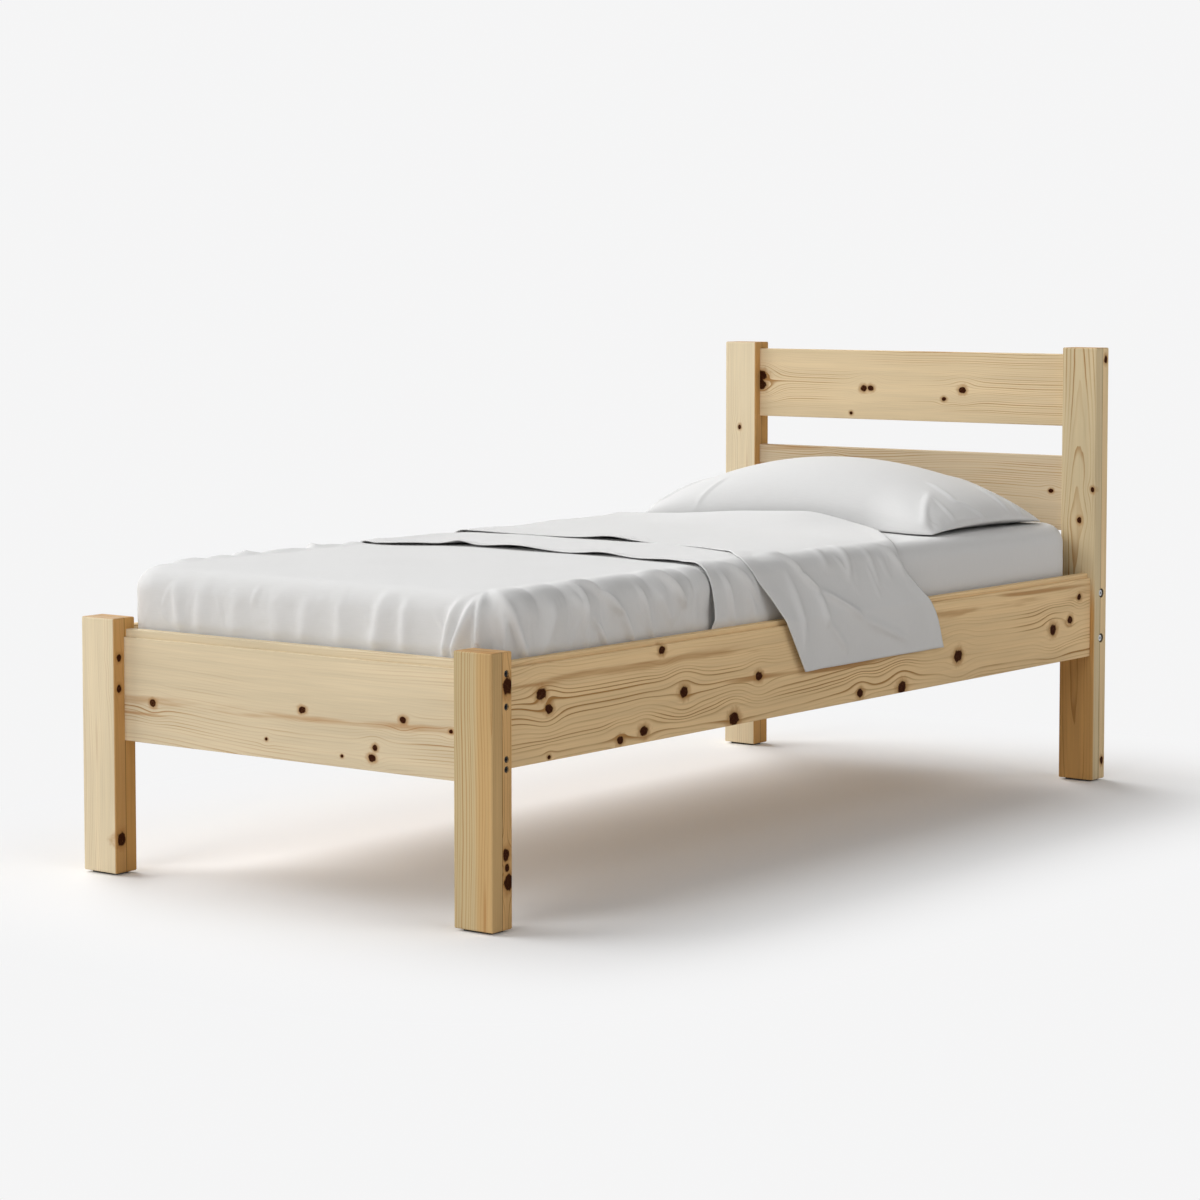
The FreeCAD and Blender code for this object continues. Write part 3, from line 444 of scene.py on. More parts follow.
def ring_radius(tree, given, moved, ripple):
    """Distance from the pith, which wanders along the board, with the grain spread round the knots."""
    wander = add_node(tree, "ShaderNodeTexNoise", {
        "Vector": vector_calc(tree, "MULTIPLY", moved, (1.0, 0.0, 0.0)), "Scale": 1.25, "Detail": 1.0})
    centred = vector_calc(tree, "SUBTRACT", wander.outputs["Color"], (0.5, 0.5, 0.5))
    drift = vector_calc(tree, "MULTIPLY", centred, (0.0, 0.045, 0.07))
    away = given["Point"]
    for shift in (given["Pith"], drift, joined_vector(tree, Y=given["Spread"])):
        away = vector_calc(tree, "SUBTRACT", away, shift)
    radius = vector_calc(tree, "LENGTH", vector_calc(tree, "MULTIPLY", away, (0.0, 1.0, 1.0)))
    return calc(tree, "MULTIPLY_ADD", ripple, 0.0060, radius)


def late_wood_mask(tree, given, moved, radius, past_band):
    """Where the rings' late wood shows. It differs by year and by patch, and is weak past the band."""
    pace = line_noise(tree, calc(tree, "MULTIPLY", radius, 34.0), given["Seed"], 1.0, 2.0)
    rings = calc(tree, "DIVIDE", radius, given["Ring Width"])
    years = calc(tree, "ADD", rings, calc(tree, "MULTIPLY", pace, 3.2))
    year = calc(tree, "FRACT", years)
    strength = line_noise(tree, calc(tree, "FLOOR", years), given["Seed"], 3.7, 0.0)
    patch = grain_noise(tree, moved, 2.2, 13.0, 2.0)
    return product(
        tree,
        calc(tree, "POWER", smooth_range(tree, year, 0.50, 0.95), 1.5),
        smooth_range(tree, year, 1.0, 0.96),
        smooth_range(tree, strength, 0.30, 0.70, 0.25, 1.25),
        smooth_range(tree, patch, 0.38, 0.62, 0.15, 1.10),
        smooth_range(tree, past_band, -0.008, 0.010, 1.0, 0.28),
        given["Figure"])


def resin_mask(tree, given, moved, past_band):
    """Resin streaks, scattered over the board and in a broken line along its band."""
    scattered = smooth_range(tree, grain_noise(tree, moved, 2.0, 48.0, 1.0), 0.70, 0.80, 0.0, 0.75)
    on_band = smooth_range(tree, calc(tree, "ABSOLUTE", past_band), 0.011, 0.001)
    broken = smooth_range(tree, grain_noise(tree, moved, 5.0, 40.0, 2.0), 0.38, 0.62)
    return calc(tree, "MAXIMUM", scattered, product(tree, on_band, broken, given["Resin"]))


def pine_group(name):
    """Growth rings round a wandering pith, fine fibres along the grain, and knots."""
    tree, given, result = new_group(
        name,
        (("Point", "Vector"), ("Pith", "Vector"), ("Seed", "Float"), ("Ring Width", "Float"),
         ("Figure", "Float"), ("Spread", "Float"), ("Core", "Float"), ("Halo", "Float"), ("Band", "Float"),
         ("Resin", "Float"), ("Early", "Color"), ("Late", "Color"), ("Knot", "Color"), ("Stain", "Color")))
    shift = joined_vector(tree, X=given["Seed"], Y=given["Seed"], Z=given["Seed"])
    moved = vector_calc(tree, "ADD", given["Point"], shift)
    ripple = grain_noise(tree, moved, 4.5, 26.0, 3.0)
    radius = ring_radius(tree, given, moved, ripple)
    across = add_node(tree, "ShaderNodeSeparateXYZ", {"Vector": given["Point"]}).outputs["Y"]
    across = calc(tree, "SUBTRACT", calc(tree, "MULTIPLY_ADD", ripple, 0.03, across), 0.015)
    past_band = calc(tree, "SUBTRACT", across, given["Band"])
    late = late_wood_mask(tree, given, moved, radius, past_band)
    fibre = grain_noise(tree, moved, 9.0, 520.0, 2.0)
    streak = grain_noise(tree, moved, 2.2, 60.0, 3.0)
    tone = grain_noise(tree, moved, 1.6, 7.0, 2.0)
    shade = calc(tree, "ADD", calc(tree, "MULTIPLY_ADD", fibre, 0.16, 0.76),
                 calc(tree, "MULTIPLY_ADD", streak, 0.26, -0.05))
    shade = calc(tree, "ADD", shade, calc(tree, "MULTIPLY_ADD", tone, 0.30, -0.12))
    colour = shade_colour(tree, blend_colour(tree, late, given["Early"], given["Late"]), shade)
    stained = resin_mask(tree, given, moved, past_band)
    for share in (stained, calc(tree, "MULTIPLY", given["Halo"], 0.72)):
        colour = blend_colour(tree, share, colour, given["Stain"])
    grain = smooth_range(tree, noise(tree, given["Point"], 330.0, 2.0), 0.50, 0.80, 0.0, 0.20)
    heart = blend_colour(tree, grain, given["Knot"], given["Stain"])
    tree.links.new(blend_colour(tree, given["Core"], colour, heart), result["Color"])
    rough = calc(tree, "MULTIPLY_ADD", late, -0.10, calc(tree, "MULTIPLY_ADD", fibre, 0.14, 0.50))
    tree.links.new(calc(tree, "MULTIPLY_ADD", given["Core"], 0.20, rough), result["Roughness"])
    height = calc(tree, "ADD", calc(tree, "MULTIPLY", late, 0.5), calc(tree, "MULTIPLY", fibre, 0.35))
    tree.links.new(calc(tree, "MULTIPLY_ADD", given["Core"], -0.3, height), result["Height"])
    return tree


def cotton_group(name):
    """A plain weave with uneven threads and the small creases of washed cotton."""
    tree, given, result = new_group(
        name, (("Place", "Vector"), ("Thread", "Float"), ("Color", "Color"), ("Creases", "Float")))
    turns = vector_calc(tree, "SCALE", given["Place"])
    tree.links.new(calc(tree, "DIVIDE", math.pi, given["Thread"]), turns.node.inputs["Scale"])
    parts = add_node(tree, "ShaderNodeSeparateXYZ", {"Vector": turns})
    warp, weft = (calc(tree, "SINE", parts.outputs[axis]) for axis in "XY")
    weave = calc(tree, "MULTIPLY", warp, weft)
    slub = noise(tree, vector_calc(tree, "MULTIPLY", given["Place"], (30.0, 700.0, 1.0)), 1.0, 2.0)
    crease = noise(tree, given["Place"], 16.0, 5.0, 0.62)
    fine = noise(tree, vector_calc(tree, "MULTIPLY", given["Place"], (55.0, 40.0, 1.0)), 1.0, 4.0, 0.6)
    creased = calc(tree, "ADD", crease, calc(tree, "MULTIPLY", fine, 0.3))
    threads = calc(tree, "MULTIPLY_ADD", weave, 0.035, calc(tree, "MULTIPLY", slub, 0.05))
    height = calc(tree, "ADD", calc(tree, "MULTIPLY", creased, given["Creases"]), threads)
    tree.links.new(height, result["Height"])
    shade = calc(tree, "MULTIPLY_ADD", weave, 0.018, 0.955)
    shade = calc(tree, "ADD", shade, calc(tree, "MULTIPLY", slub, 0.07))
    tree.links.new(shade_colour(tree, given["Color"], shade), result["Color"])
    tree.links.new(calc(tree, "MULTIPLY_ADD", crease, 0.12, 0.80), result["Roughness"])
    return tree


def speckle_group(name):
    """Fine uneven gloss and colour for metal and moulded plastic."""
    tree, given, result = new_group(name, (("Point", "Vector"), ("Color", "Color"), ("Roughness", "Float")))
    coarse = noise(tree, given["Point"], 130.0, 3.0)
    shade = calc(tree, "MULTIPLY_ADD", coarse, 0.5, 0.75)
    tree.links.new(shade_colour(tree, given["Color"], shade), result["Color"])
    tree.links.new(calc(tree, "MULTIPLY_ADD", coarse, 0.22, given["Roughness"]), result["Roughness"])
    tree.links.new(noise(tree, given["Point"], 1400.0, 2.0), result["Height"])
    return tree


GROUPS = {"Knot": knot_group, "Pine": pine_group, "Cotton": cotton_group, "Speckle": speckle_group}


def add_group(tree, name, inputs):
    """Place a shared effect in a material, building it the first time."""
    group = bpy.data.node_groups.get(name) or GROUPS[name](name)
    return add_node(tree, "ShaderNodeGroup", inputs, node_tree=group)


# Materials

def new_material(name):
    material = bpy.data.materials.new(name)
    material.use_nodes = True
    tree = material.node_tree
    return material, tree, tree.nodes["Principled BSDF"]


def connect_surface(tree, shader, finish, bump_depth, bump_strength):
    """Feed a finish group's colour, roughness and height to the shader."""
    tree.links.new(finish.outputs["Color"], shader.inputs["Base Color"])
    tree.links.new(finish.outputs["Roughness"], shader.inputs["Roughness"])
    bump = add_node(tree, "ShaderNodeBump", {
        "Height": finish.outputs["Height"], "Distance": bump_depth, "Strength": bump_strength})
    tree.links.new(bump.outputs["Normal"], shader.inputs["Normal"])


def find_knots(tree, point, board):
    """How far a board's knots spread its grain, and where their cores and halos are."""
    found = {"Spread": 0.0, "Core": 0.0, "Halo": 0.0}
    for along, across, size in board.knots:
        place = (along, across, board.face)
        node = add_group(tree, "Knot", {"Point": point, "Place": place, "Size": size, **found})
        found = {key: node.outputs[key] for key in found}
    return found


def early_wood_colour(tree, parts, board):
    """A board's colour between the rings, with painted shade blended in over the given ranges."""
    early = opaque(board.early or colours().early_wood)
    if board.painted_shade is None:
        return early
    darker, ranges = board.painted_shade
    for axis, start, end in ranges:
        darker = calc(tree, "MULTIPLY", darker, smooth_range(tree, parts[axis], start, end))
    # Painted shade: the shade colour blended in over the given ranges
    return blend_colour(tree, darker, early, opaque(colours().painted_shade_wood))


def bolt_bores(tree, parts):
    """Where a post's surface is inside one of the head bolts' bores, which is coloured black."""
    inside = 0.0
    for height in BORE_HEIGHTS:
        away = joined_vector(tree, X=calc(tree, "SUBTRACT", parts["Y"], BORE_Y),
                             Y=calc(tree, "SUBTRACT", parts["Z"], height))
        span = vector_calc(tree, "LENGTH", away)
        bored = smooth_range(tree, span, BORE_RADIUS + 0.0004, BORE_RADIUS - 0.0002)
        inside = calc(tree, "MAXIMUM", inside, bored)
    return inside


def ply_colour(tree, parts, colour, seam, top):
    """A ply's wood with its bolt bores coloured black, darker end grain at its top and the line of its glue
    seam.
    """
    tint = colours()
    from_seam = calc(tree, "ABSOLUTE", calc(tree, "SUBTRACT", parts["Y"], seam))
    on_seam = smooth_range(tree, from_seam, 0.0010, 0.0002, 0.0, 0.75)
    end_grain = smooth_range(tree, parts["Z"], top - 0.0012, top - 0.0004, 0.0, 0.62)
    for share, paint in ((bolt_bores(tree, parts), tint.black_steel), (end_grain, tint.knot_halo),
                         (on_seam, tint.knot)):
        colour = blend_colour(tree, share, colour, opaque(paint))
    return colour


def pine_material(name, board, top=None):
    """Pine for one board, or for a post's ply, whose top is given."""
    material, tree, shader = new_material(name)
    place = add_node(tree, "ShaderNodeTexCoord").outputs["Object"]
    parts = add_node(tree, "ShaderNodeSeparateXYZ", {"Vector": place}).outputs
    along, across, through = (parts[axis] for axis in board.axes)
    point = joined_vector(tree, X=along, Y=across, Z=through)
    tint = colours()
    wood = add_group(tree, "Pine", {
        "Point": point, "Pith": (0.0, *board.pith), "Seed": board.seed, "Figure": board.figure,
        "Ring Width": board.ring_width or sizes().ring_width, "Band": board.band, "Resin": board.resin,
        "Early": early_wood_colour(tree, parts, board), "Late": opaque(tint.late_wood),
        "Knot": opaque(tint.knot), "Stain": opaque(tint.knot_halo), **find_knots(tree, point, board)})
    connect_surface(tree, shader, wood, GRAIN_DEPTH, 0.35)
    if top is not None:
        colour = ply_colour(tree, parts, wood.outputs["Color"], board.seam, top)
        tree.links.new(colour, shader.inputs["Base Color"])
    shader.inputs["Specular IOR Level"].default_value = 0.04
    return material


def cotton_material(name, colour, creases):
    material, tree, shader = new_material(name)
    place = add_node(tree, "ShaderNodeAttribute", attribute_name=FLAT_PLACE).outputs["Vector"]
    cloth = add_group(tree, "Cotton", {
        "Place": place, "Thread": sizes().thread, "Color": opaque(colour), "Creases": creases})
    connect_surface(tree, shader, cloth, COTTON_DEPTH, 0.6)
    shader.inputs["Specular IOR Level"].default_value = 0.18
    shader.inputs["Sheen Weight"].default_value = 0.12
    shader.inputs["Sheen Roughness"].default_value = 0.6
    return material


def speckled_material(name, colour, roughness, metallic):
    material, tree, shader = new_material(name)
    place = add_node(tree, "ShaderNodeTexCoord").outputs["Object"]
    finish = add_group(tree, "Speckle", {"Point": place, "Color": opaque(colour), "Roughness": roughness})
    connect_surface(tree, shader, finish, SPECKLE_DEPTH, 0.25)
    shader.inputs["Metallic"].default_value = metallic
    return material


def dress_node(name, material):
    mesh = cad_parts[name].data
    mesh.materials.clear()
    mesh.materials.append(material)


# Cloth on the mattress

def lattice_noise(points, cell, seed):
    """Smooth seeded noise from -1 to 1 over flat points, with bumps about one cell across."""
    count = 97
    lattice = np.random.default_rng(seed).uniform(-1.0, 1.0, (count, count))
    scaled = points / cell + 400.0
    base = np.floor(scaled).astype(int)
    part = scaled - base
    ease = part * part * part * (part * (part * 6.0 - 15.0) + 10.0)

    def corner(step_x, step_y):
        return lattice[(base[:, 0] + step_x) % count, (base[:, 1] + step_y) % count]

    low = corner(0, 0) + (corner(1, 0) - corner(0, 0)) * ease[:, 0]
    high = corner(0, 1) + (corner(1, 1) - corner(0, 1)) * ease[:, 0]
    return low + (high - low) * ease[:, 1]


def ease_between(values, low, high):
    share = np.clip((values - low) / (high - low), 0.0, 1.0)
    return share * share * (3.0 - 2.0 * share)


def half_mattress():
    return np.array([MATTRESS_HIGH.x, MATTRESS_HIGH.y])


def flat_top_reach():
    """Half sizes of the mattress's flat top, up to where its edge starts to round."""
    return half_mattress() - sizes().mattress_edge


def drop_length(rise, low_z):
    """Length of cloth from the flat top's edge down to a height."""
    radius = sizes().mattress_edge + rise
    return radius * QUARTER + MATTRESS_HIGH.z - sizes().mattress_edge - low_z


def tucked_drop(rise):
    return drop_length(rise, RAIL_HIGH.z - sizes().tuck_depth)


def layer_rise(layer):
    return (layer + 1) * sizes().cloth_step - sizes().cloth_thickness / 2


def lay_over_mattress(flat, rise, drop):
    """Lay flat cloth points over the mattress, gathering what its corners have below the drop.

    Gives the points' places, outward directions and way past the flat top.
    """
    corner = sizes().mattress_corner
    edge = sizes().mattress_edge
    reach = np.abs(flat) - (half_mattress() - corner)
    past = np.maximum(reach, 0.0)
    gap = np.linalg.norm(past, axis=1)
    way = gap + np.minimum(reach.max(axis=1), 0.0) - (corner - edge)
    nearest = np.where((reach[:, 0] >= reach[:, 1])[:, None], [[1.0, 0.0]], [[0.0, 1.0]])
    heading = np.where(gap[:, None] > TINY, past / np.maximum(gap, TINY)[:, None], nearest)
    heading = heading * np.where(flat < 0.0, -1.0, 1.0)
    radius = edge + rise
    turn = np.clip(way / radius, 0.0, QUARTER)
    run = np.maximum(way - radius * QUARTER, 0.0)
    hem = drop - radius * QUARTER
    run = np.minimum(run, hem + GATHERED_SHARE * (run - hem))
    start = flat - heading * np.maximum(way, 0.0)[:, None]
    plan = start + heading * (radius * np.sin(turn))[:, None]
    height = MATTRESS_HIGH.z - edge + radius * np.cos(turn) - run
    places = np.column_stack([plan, height])
    outward = np.column_stack([heading * np.sin(turn)[:, None], np.cos(turn)])
    return places, outward, way


def grid_faces(columns, rows):
    faces = []
    for row in range(rows - 1):
        for column in range(columns - 1):
            first = row * columns + column
            faces.append((first, first + 1, first + columns + 1, first + columns))
    return faces


def flat_vectors(flat):
    return np.column_stack([flat, np.zeros(len(flat))]).ravel()


def new_piece(name, points, faces, flat, material):
    """A smooth mesh object that keeps each point's place on the flat cloth."""
    mesh = bpy.data.meshes.new(name)
    mesh.from_pydata(points.tolist(), [], faces)
    stored = mesh.attributes.new(FLAT_PLACE, "FLOAT_VECTOR", "POINT")
    stored.data.foreach_set("vector", flat_vectors(flat))
    mesh.polygons.foreach_set("use_smooth", [True] * len(mesh.polygons))
    mesh.materials.append(material)
    piece = bpy.data.objects.new(name, mesh)
    bpy.context.scene.collection.objects.link(piece)
    return piece


def grid_shares(length, step):
    return np.linspace(0.0, 1.0, max(2, int(round(length / step)) + 1))


def flat_grid(left, right, foot_edge, head_edge, length, coarse=1.0):
    """A cloth cut between two edges given as functions across the bed: its flat points, columns and rows."""
    step = sizes().grid_step * coarse
    across = left + (right - left) * grid_shares(right - left, step)
    shares = grid_shares(length, step)
    foot = foot_edge(across)
    head = head_edge(across)
    y = foot[None, :] + (head - foot)[None, :] * shares[:, None]
    x = np.broadcast_to(across[None, :], y.shape)
    return np.column_stack([x.ravel(), y.ravel()]), len(across), len(shares)


def straight_edge(y):
    return lambda across: np.full(len(across), y)


def edge_line(points):
    """A smooth edge across the bed through given points."""
    xs, ys = np.array(points).T
    slopes = np.gradient(ys, xs)

    def line(across):
        index = np.clip(np.searchsorted(xs, across) - 1, 0, len(xs) - 2)
        gap = xs[index + 1] - xs[index]
        share = np.clip((across - xs[index]) / gap, 0.0, 1.0)
        rest = 1.0 - share
        from_first = (1.0 + 2.0 * share) * ys[index] + share * gap * slopes[index]
        from_next = (1.0 + 2.0 * rest) * ys[index + 1] - rest * gap * slopes[index + 1]
        return rest ** 2 * from_first + share ** 2 * from_next

    return line


def cut_size(left, right, foot_edge, head_edge):
    """Width and greatest length of a cloth cut between two edges across the bed, and its flat area."""
    across = np.linspace(left, right, 400)
    lengths = head_edge(across) - foot_edge(across)
    return (right - left, float(lengths.max())), float((right - left) * lengths.mean())


def crease(points, start, end, width, height):
    """A drawn ridge between two flat points, steep on one side and tapered towards both ends."""
    line = np.subtract(end, start)
    length = np.hypot(*line)
    along = (points - start) @ line / length
    aside = (points - start) @ np.array([line[1], -line[0]]) / length
    spread = np.where(aside > 0.0, 0.8, 1.5) * width
    rising = ease_between(along, -0.15 * length, 0.35 * length)
    falling = 1.0 - ease_between(along, 0.80 * length, 1.15 * length)
    return height * (rising * falling) / (1.0 + (aside / spread) ** 2) ** 1.5


def creases(points, lines):
    """Several ridges at once; where two meet, the higher one shows."""
    total = np.zeros(len(points))
    for start_run, start_depth, end_run, end_depth, width, height in lines:
        total += crease(points, (start_run, start_depth), (end_run, end_depth), width, height) ** 3
    return np.cbrt(total)


def small_creases(low, high, count, tallest, seed):
    """Short drawn ridges scattered along a stretch of the edge."""
    chance = np.random.default_rng(seed)
    lines = []
    for place in np.linspace(low, high, count):
        start = place + chance.uniform(-0.02, 0.02)
        depth = chance.uniform(0.03, 0.09)
        end = start - chance.uniform(-0.03, 0.06)
        end_depth = depth + chance.uniform(0.04, 0.07)
        width = chance.uniform(0.004, 0.007)
        lines.append((start, depth, end, end_depth, width, tallest * chance.uniform(0.4, 1.0)))
    return tuple(lines)


def lifts(x, rows):
    """Rounded lifts of an edge at places across the bed."""
    return sum(height * np.exp(-((x - place) / half_width) ** 2) for place, half_width, height in rows)


def close_to_frame(depth, rise, kept=0.36):
    """How much of a fold is left where the cloth goes down between the mattress and the frame."""
    rail_top = drop_length(rise, RAIL_HIGH.z)
    return 1.0 - (1.0 - kept) * ease_between(depth, rail_top - 0.020, rail_top + 0.002)


def under_folds(flat, way, rise):
    """Height that a sheet over the blanket needs to clear its folds."""
    core = half_mattress() - sizes().mattress_corner
    on_side = ease_between(np.abs(flat[:, 0]) - core[0], 0.0, 0.04) * close_to_frame(way, rise)
    return 0.0030 * on_side * (1.0 - ease_between(flat[:, 1], -0.15, -0.05)) + 0.0015


def edge_run(flat):
    """Way along the mattress's edge from the right foot corner's start, round the foot, and its whole length.

    The way is below 0 up the right side.
    """
    corner = sizes().mattress_corner
    core = half_mattress() - corner
    past_x = np.abs(flat[:, 0]) - core[0]
    past_y = -flat[:, 1] - core[1]
    turn = np.arctan2(np.maximum(past_y, 0.0), np.maximum(past_x, TINY))
    straight = np.where(past_y > past_x, corner * QUARTER - past_x, past_y)
    run = np.where((past_x > 0.0) & (past_y > 0.0), corner * turn, straight)
    whole = 2.0 * (corner * QUARTER + core[0])
    return np.where(flat[:, 0] < 0.0, whole - run, run), whole


def rim_puffs(run, way):
    """Cloth swelling over the mattress's edge between the places where it is drawn in."""
    puff = np.zeros(len(run))
    for high, low in zip(RIM_DIPS, RIM_DIPS[1:]):
        share = np.clip((run - low) / (high - low), 0.0, 1.0)
        puff = np.maximum(puff, (4.0 * share * (1.0 - share)) ** 0.6)
    return puff * ease_between(way, -0.03, 0.03) * (1.0 - ease_between(way, 0.05, 0.12))


def blanket_folds(flat, way, rise):
    """How far each point of the blanket stands off the mattress."""
    run, whole = edge_run(flat)
    right = np.column_stack([run, way])
    left = np.column_stack([1.15 * (whole - run) + 0.10, way])
    side = SIDE_CREASES + small_creases(-0.50, 0.02, 16, 0.006, 41)
    foot = FOOT_CREASES + small_creases(0.17, 0.84, 14, 0.003, 42)
    stand = np.maximum(creases(right, side + CORNER_CREASES + foot), creases(left, side))
    stand += sizes().puff_height * np.maximum(rim_puffs(right[:, 0], way), rim_puffs(left[:, 0], way))
    small = lattice_noise(flat, 0.030, 5) + 0.6 * lattice_noise(flat, 0.014, 6)
    stand += 0.0008 * (1.6 + small) * ease_between(way, 0.0, 0.06)
    stand = stand * close_to_frame(way, rise)
    return stand + 0.0016 * (1.0 + lattice_noise(flat, 0.16, 7)) * (1.0 - ease_between(way, -0.05, 0.02))


def finish_sheet(piece, body, node):
    solid = piece.modifiers.new("Thickness", "SOLIDIFY")
    solid.thickness = sizes().cloth_thickness
    solid.offset = 0.0
    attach(piece, body)
    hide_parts(node)


# Filling the pillow

def read_vectors(items, name):
    values = np.empty(len(items) * 3)
    items.foreach_get(name, values)
    return values.reshape(-1, 3)


def write_places(mesh, places):
    mesh.vertices.foreach_set("co", places.ravel())
    mesh.update()


def fill_pouch(piece, flat, hold, frames):
    """Fill a pouch cut to flat points, its rim held, and keep each point's move up to a farthest one."""
    scene = bpy.context.scene
    mesh = piece.data
    start = read_vectors(mesh.vertices, "co")
    piece.shape_key_add(name="laid")
    cut = piece.shape_key_add(name="cut")
    cut.data.foreach_set("co", flat_vectors(flat))
    held = piece.vertex_groups.new(name="held")
    held.add(np.flatnonzero(hold).tolist(), 1.0, "REPLACE")
    cloth = piece.modifiers.new("Fill", "CLOTH")
    for key, value in POUCH_CLOTH.items():
        setattr(cloth.settings, key, value)
    cloth.settings.effector_weights.gravity = 0.0
    cloth.settings.rest_shape_key = cut
    cloth.settings.vertex_group_mass = held.name
    cloth.collision_settings.use_collision = False
    cloth.point_cache.frame_start = 1
    cloth.point_cache.frame_end = frames
    for step in range(1, frames + 1):
        scene.frame_set(step)
    whole = piece.evaluated_get(bpy.context.evaluated_depsgraph_get())
    move = read_vectors(whole.data.vertices, "co") - start
    piece.modifiers.remove(cloth)
    piece.shape_key_clear()
    piece.vertex_groups.clear()
    scene.frame_set(1)
    span = np.linalg.norm(move, axis=1)
    kept = FARTHEST_SWELL * np.tanh(span / FARTHEST_SWELL) / np.maximum(span, TINY)
    write_places(mesh, start + move * kept[:, None])


def subdivide(piece):
    """Give a piece's mesh one smooth subdivision."""
    finer = piece.modifiers.new("Smooth", "SUBSURF")
    finer.levels = 1
    whole = piece.evaluated_get(bpy.context.evaluated_depsgraph_get())
    mesh = bpy.data.meshes.new_from_object(whole)
    piece.modifiers.remove(finer)
    piece.data = mesh


# Stage

def seen_rays(tree):
    """1 for the rays by which the camera sees the pale background, also in metal."""
    rays = add_node(tree, "ShaderNodeLightPath").outputs
    mirrored = calc(tree, "MAXIMUM", rays["Is Glossy Ray"], rays["Is Transmission Ray"])
    return calc(tree, "MAXIMUM", rays["Is Camera Ray"], mirrored)


def mix_surfaces(tree, share, first, second, output):
    mixed = add_node(tree, "ShaderNodeMixShader", {0: share, 1: first, 2: second})
    tree.links.new(mixed.outputs["Shader"], tree.nodes[output].inputs["Surface"])


# Operators

class BED_OT_stage(bpy.types.Operator):
    """Make the floor, the lights and the camera."""

    bl_idname = "bed.stage"
    bl_label = "Stage"

    def execute(self, context):
        scene = context.scene
        scene.view_settings.view_transform = "Standard"
        self.make_floor(scene)
        self.make_world(scene)
        self.make_lights(scene)
        self.make_camera(scene)
        return {"FINISHED"}

    def make_floor(self, scene):
        mesh = bpy.data.meshes.new("floor")
        corners = [(-1, -1), (1, -1), (1, 1), (-1, 1)]
        mesh.from_pydata([(x * FLOOR_HALF, y * FLOOR_HALF, 0.0) for x, y in corners], [], [(0, 1, 2, 3)])
        floor = bpy.data.objects.new("floor", mesh)
        scene.collection.objects.link(floor)
        mesh.materials.append(self.floor_material())

    def floor_material(self):
        """A floor that takes the bed's shadow near it and is the plain background colour further off."""
        material, tree, shader = new_material("pale_floor")
        tree.nodes.remove(shader)
        pale = opaque(colours().floor)
        seen = seen_rays(tree)
        place = add_node(tree, "ShaderNodeTexCoord").outputs["Object"]
        aside = vector_calc(tree, "SUBTRACT", vector_calc(tree, "ABSOLUTE", place), tuple(CAD_BOX[1]))
        outside = vector_calc(tree, "MAXIMUM", aside, (0.0, 0.0, 0.0))
        outside = vector_calc(tree, "MULTIPLY", outside, (1.0, 1.0, 0.0))
        far = smooth_range(tree, vector_calc(tree, "LENGTH", outside), *SHADOW_FADE)
        colour = blend_colour(tree, seen, opaque(FLOOR_BOUNCE), pale)
        lit = add_node(tree, "ShaderNodeBsdfDiffuse", {"Color": colour}).outputs["BSDF"]
        plain = add_node(tree, "ShaderNodeEmission", {"Color": pale, "Strength": 1.0}).outputs["Emission"]
        mix_surfaces(tree, calc(tree, "MULTIPLY", far, seen), lit, plain, "Material Output")
        return material

    def make_world(self, scene):
        world = bpy.data.worlds.new("pale_room")
        scene.world = world
        world.use_nodes = True
        tree = world.node_tree
        ambient = tree.nodes["Background"]
        ambient.inputs["Color"].default_value = (1.0, 1.0, 1.0, 1.0)
        ambient.inputs["Strength"].default_value = AMBIENT_STRENGTH
        backdrop = add_node(tree, "ShaderNodeBackground", {"Color": opaque(colours().floor), "Strength": 1.0})
        mix_surfaces(tree, seen_rays(tree), ambient.outputs["Background"], backdrop.outputs["Background"],
                     "World Output")

    def make_lights(self, scene):
        for name, towards, spread, strength in LAMPS:
            light = bpy.data.lights.new(name, "SUN")
            light.angle = math.radians(spread)
            light.energy = strength
            lamp = bpy.data.objects.new(name, light)
            lamp.location = LAMP_DISTANCE * Vector(towards)
            lamp.rotation_euler = Vector(towards).to_track_quat("Z", "Y").to_euler()
            scene.collection.objects.link(lamp)

    def make_camera(self, scene):
        lens = bpy.data.cameras.new("camera")
        lens.sensor_width = SENSOR_WIDTH
        lens.lens = LENS_LENGTH
        lens.shift_y = LENS_SHIFT
        lens.clip_end = VIEW_END
        camera = bpy.data.objects.new("camera", lens)
        camera.location = CAMERA_PLACE
        camera.rotation_euler = (QUARTER - CAMERA_DIP, 0.0, CAMERA_HEADING)
        scene.collection.objects.link(camera)
        scene.camera = camera


class BED_OT_pine_frame(bpy.types.Operator):
    """Give the posts, boards, rails, ledgers and slats their pine."""

    bl_idname = "bed.pine_frame"
    bl_label = "Pine frame"

    def execute(self, context):
        for node, board in BOARDS.items():
            dress_node(node, pine_material("pine_" + node, board))
        for node, board in PLIES.items():
            dress_node(node, pine_material("pine_" + node, board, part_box(node)[1].z))
        self.dress_slats()
        return {"FINISHED"}

    def dress_slats(self):
        pale = colours().slat_wood
        slat_pine = pine_material("slat_pine", SLAT._replace(early=pale))
        ledger_pine = pine_material("ledger_pine", LEDGER._replace(early=pale))
        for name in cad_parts:
            if name.startswith("slat_ledger"):
                dress_node(name, ledger_pine)
            elif name.startswith("slat_") and name != "slat_screws":
                dress_node(name, slat_pine)
        dress_node("frame_dowels", pine_material("dowel_beech", DOWEL._replace(early=colours().beech)))


